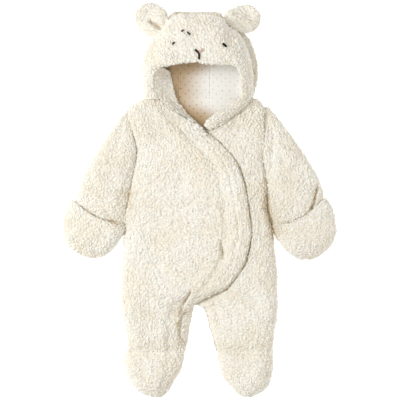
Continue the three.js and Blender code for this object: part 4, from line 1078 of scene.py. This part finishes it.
# sections from the ear's base to its tip, puffed by the quarter round of the distance to the edge
def earFace(rows, t, front, outer, folds):
    col = {name: values[:, None] for name, values in rows.items()}
    x0, y0 = toX(col["fromX"]), toY(col["fromY"])
    dx, dy = toX(col["toX"]) - x0, toY(col["toY"]) - y0
    width = np.hypot(dx, dy)
    across = col["bow"] * unit * 4 * t * (1 - t)
    out = np.sign(dx) * across / width
    along = np.linspace(0, 1, len(rows["bow"]))[:, None]
    edge = np.minimum(np.minimum(t, 1 - t) * width, (1 - along) * 44 + 2)
    full = roundOff(edge, 16) * mix(0.7, 1, smooth(along * 4))
    height = mix(ear["baseHeight"], ear["tipHeight"], smooth(along * 1.6))
    thick = mix(ear["edge"], ear["layer"], full)
    x, y = x0 + dx * t - dy * out, y0 + dy * t + dx * out
    if front:
        z = height + sizes["gap"] + (thick - troughs(x, y, folds) if outer else 0 * thick)
    else:
        z = np.maximum(height - thick, 0) if outer else height + 0 * thick
    return np.stack([x, y, z + 0 * x], axis=-1)


for side, rows, folds in (("right", rightEar, [(150.5, 21, 161, 28, 8, 3.4), (150, 12, 144, 18, 1.5, 6)]),
                          ("left", leftEar, [(238, 23, 246, 28, 2.4, 5), (246, 10, 252, 18, 1.5, 6)])):
    fine = refine(runOn(rows, 0.6, 0), 9)
    dense, loose = edgeSpacing(40)[None, :], edgeSpacing(20)[None, :]
    front = cloth("fleece_ear_%s_front" % side, earFace(fine, dense, True, True, folds), earFace(fine, loose, True, False, folds), fleece)
    rear = cloth("fleece_ear_%s_back" % side, earFace(fine, dense, False, False, folds), earFace(fine, loose, False, True, folds),
                 fleece, 0.0, 0.6)
    standsFor(front, ["ear_%s_front" % side])
    standsFor(rear, ["ear_%s_back" % side])
print("ears made")

# ---- face: straight stitches laid on the forehead's pile

faceStitches = {
    "drop": 1.7,       # photograph units: the forehead is nearer the camera, which carries it outwards in the picture
    "stand": 1.7,      # how far the thread stands off the pile
}


# height of the hood front's surface under given places, by rays from above
def heightsOn(obj, x, y):
    points = np.empty(len(obj.data.vertices) * 3)
    obj.data.vertices.foreach_get("co", points)
    tree = BVHTree.FromPolygons([tuple(p) for p in points.reshape(-1, 3)], [tuple(f.vertices) for f in obj.data.polygons])
    out = []
    for a, b in zip(x, y):
        hit = tree.ray_cast(Vector((a / 1000, b / 1000, 1.0)), Vector((0, 0, -1)))
        out.append(hit[0].z * 1000 if hit[0] is not None else np.nan)
    return np.array(out)


# a round thread along a line of points: a circle's profile carried along it, thinner at its ends
def thread(path, width, sides=8):
    path = np.asarray(path, dtype=float)
    along = np.gradient(path, axis=0)
    along /= np.linalg.norm(along, axis=1, keepdims=True)
    side = np.cross(along, np.array([0, 0, 1.0]))
    side /= np.maximum(np.linalg.norm(side, axis=1, keepdims=True), 1e-9)
    up = np.cross(side, along)
    t = np.linspace(0, 1, len(path))
    radius = width / 2 * np.sqrt(np.clip(1 - (2 * t - 1) ** 6, 0.05, 1))
    angle = np.linspace(0, 2 * np.pi, sides, endpoint=False)
    ring = (np.cos(angle)[None, :, None] * side[:, None, :] + np.sin(angle)[None, :, None] * up[:, None, :])
    return path[:, None, :] + ring * radius[:, None, None]


# stitches between two photograph points, side by side
def stitchGroup(name, lines, material, width):
    grids = []
    for x0, y0, x1, y1, strands in lines:
        a, b = np.array([toX(x0), toY(y0 + faceStitches["drop"])]), np.array([toX(x1), toY(y1 + faceStitches["drop"])])
        across = np.array([-(b - a)[1], (b - a)[0]]) / np.linalg.norm(b - a)
        for k in range(strands):
            shift = across * (k - (strands - 1) / 2) * width * 0.8
            t = np.linspace(0, 1, 12)[:, None]
            flat = mix(a + shift, b + shift, t)
            ground = heightsOn(hoodFrontObj, flat[:, 0], flat[:, 1])
            level = np.nanmax(ground) * 0.5 + np.nanmean(ground) * 0.5
            lift = level + faceStitches["stand"] - 1.6 * (2 * t[:, 0] - 1) ** 4
            grids.append(thread(np.column_stack([flat, lift]), width))
    points, faces = [], []
    start = 0
    for grid in grids:
        rows, count, _ = grid.shape
        i, j = np.meshgrid(np.arange(rows - 1), np.arange(count), indexing="ij")
        n = (j + 1) % count
        quads = np.stack([i * count + j, (i + 1) * count + j, (i + 1) * count + n, i * count + n], axis=-1).reshape(-1, 4) + start
        faces += quads.tolist()
        faces += [(start + np.arange(count)).tolist(), (start + (rows - 1) * count + np.arange(count))[::-1].tolist()]
        points.append(grid.reshape(-1, 3))
        start += rows * count
    made = addMesh(name, np.concatenate(points), faces, None, material)
    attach(made, "root")
    return made


stitchGroup("stitched_right_eye", [(172.4, 44.6, 174.8, 42.2, 1)], blackThread, 2.5)
stitchGroup("stitched_left_eye", [(222.4, 43.2, 226.2, 46.9, 2)], blackThread, 2.2)
stitchGroup("stitched_brows", [(181.4, 31.6, 183.9, 30, 1), (187, 31.8, 190.6, 35, 1)], blackThread, 2.4)
stitchGroup("stitched_nose", [(194.8, 49.4, 199, 53.2, 2), (199, 52.8, 199.2, 59.4, 2)], brownThread, 1.9)
stitchGroup("stitched_nose_side", [(199.2, 53, 203.2, 48.4, 1)], pinkThread, 1.9)
print("face stitched")

# ---- floor, lights and camera

studio = {
    "sky": 0.61, "skyTint": (1.0, 0.975, 0.945), "tableGlow": 0.55,
    "boxPower": 45.5, "boxTint": (0.94, 1.0, 1.07), "boxSize": 1.2, "boxPlace": (-1.9, 0.3, 1.7),      # a softbox, low at the picture's left
    "fillPower": 17, "fillPlace": (2.1, -0.4, 1.8), "fillSize": 1.6,      # a white board at the right
    "distance": 3.4, "view": 0.68, "centre": (200, 200),
}
bpy.context.scene.view_settings.view_transform = "Standard"
bpy.ops.mesh.primitive_plane_add(size=6)
floor = bpy.context.object
floor.name = "floor"
floorPaint, tree, output = newMaterial("lit_white_table")
shader = addNode(tree, "ShaderNodeBsdfPrincipled", values={"Base Color": linear("#FAFAFA"), "Roughness": 0.9,
                                                           "Emission Color": linear("#FFFFFF"),
                                                           "Emission Strength": studio["tableGlow"]})
tree.links.new(shader.outputs["BSDF"], output.inputs["Surface"])
floor.data.materials.append(floorPaint)

world = bpy.data.worlds.new("soft_sky")
bpy.context.scene.world = world
world.use_nodes = True
world.node_tree.nodes["Background"].inputs["Color"].default_value = (*studio["skyTint"], 1)
world.node_tree.nodes["Background"].inputs["Strength"].default_value = studio["sky"]

for name in ("box", "fill"):
    lightData = bpy.data.lights.new("soft" + name, "AREA")
    lightData.energy = studio[name + "Power"]
    lightData.color = studio["boxTint"]
    lightData.size = studio[name + "Size"]
    light = bpy.data.objects.new("soft" + name, lightData)
    light.location = studio[name + "Place"]
    light.rotation_euler = (-Vector(studio[name + "Place"])).to_track_quat("-Z", "Y").to_euler()
    bpy.context.collection.objects.link(light)

cameraData = bpy.data.cameras.new("camera")
camera = bpy.data.objects.new("camera", cameraData)
bpy.context.collection.objects.link(camera)
camera.location = (toX(studio["centre"][0]) / 1000, toY(studio["centre"][1]) / 1000, studio["distance"])
camera.rotation_euler = (0, 0, 0)
cameraData.sensor_width = 36
cameraData.lens = 36 * (studio["distance"] - 0.025) / studio["view"]
cameraData.clip_end = 20
bpy.context.scene.camera = camera
print("studio set,", sum(len(o.data.polygons) for o in finished.values()), "faces,",
      max((len(o.data.polygons), n) for n, o in finished.items()))
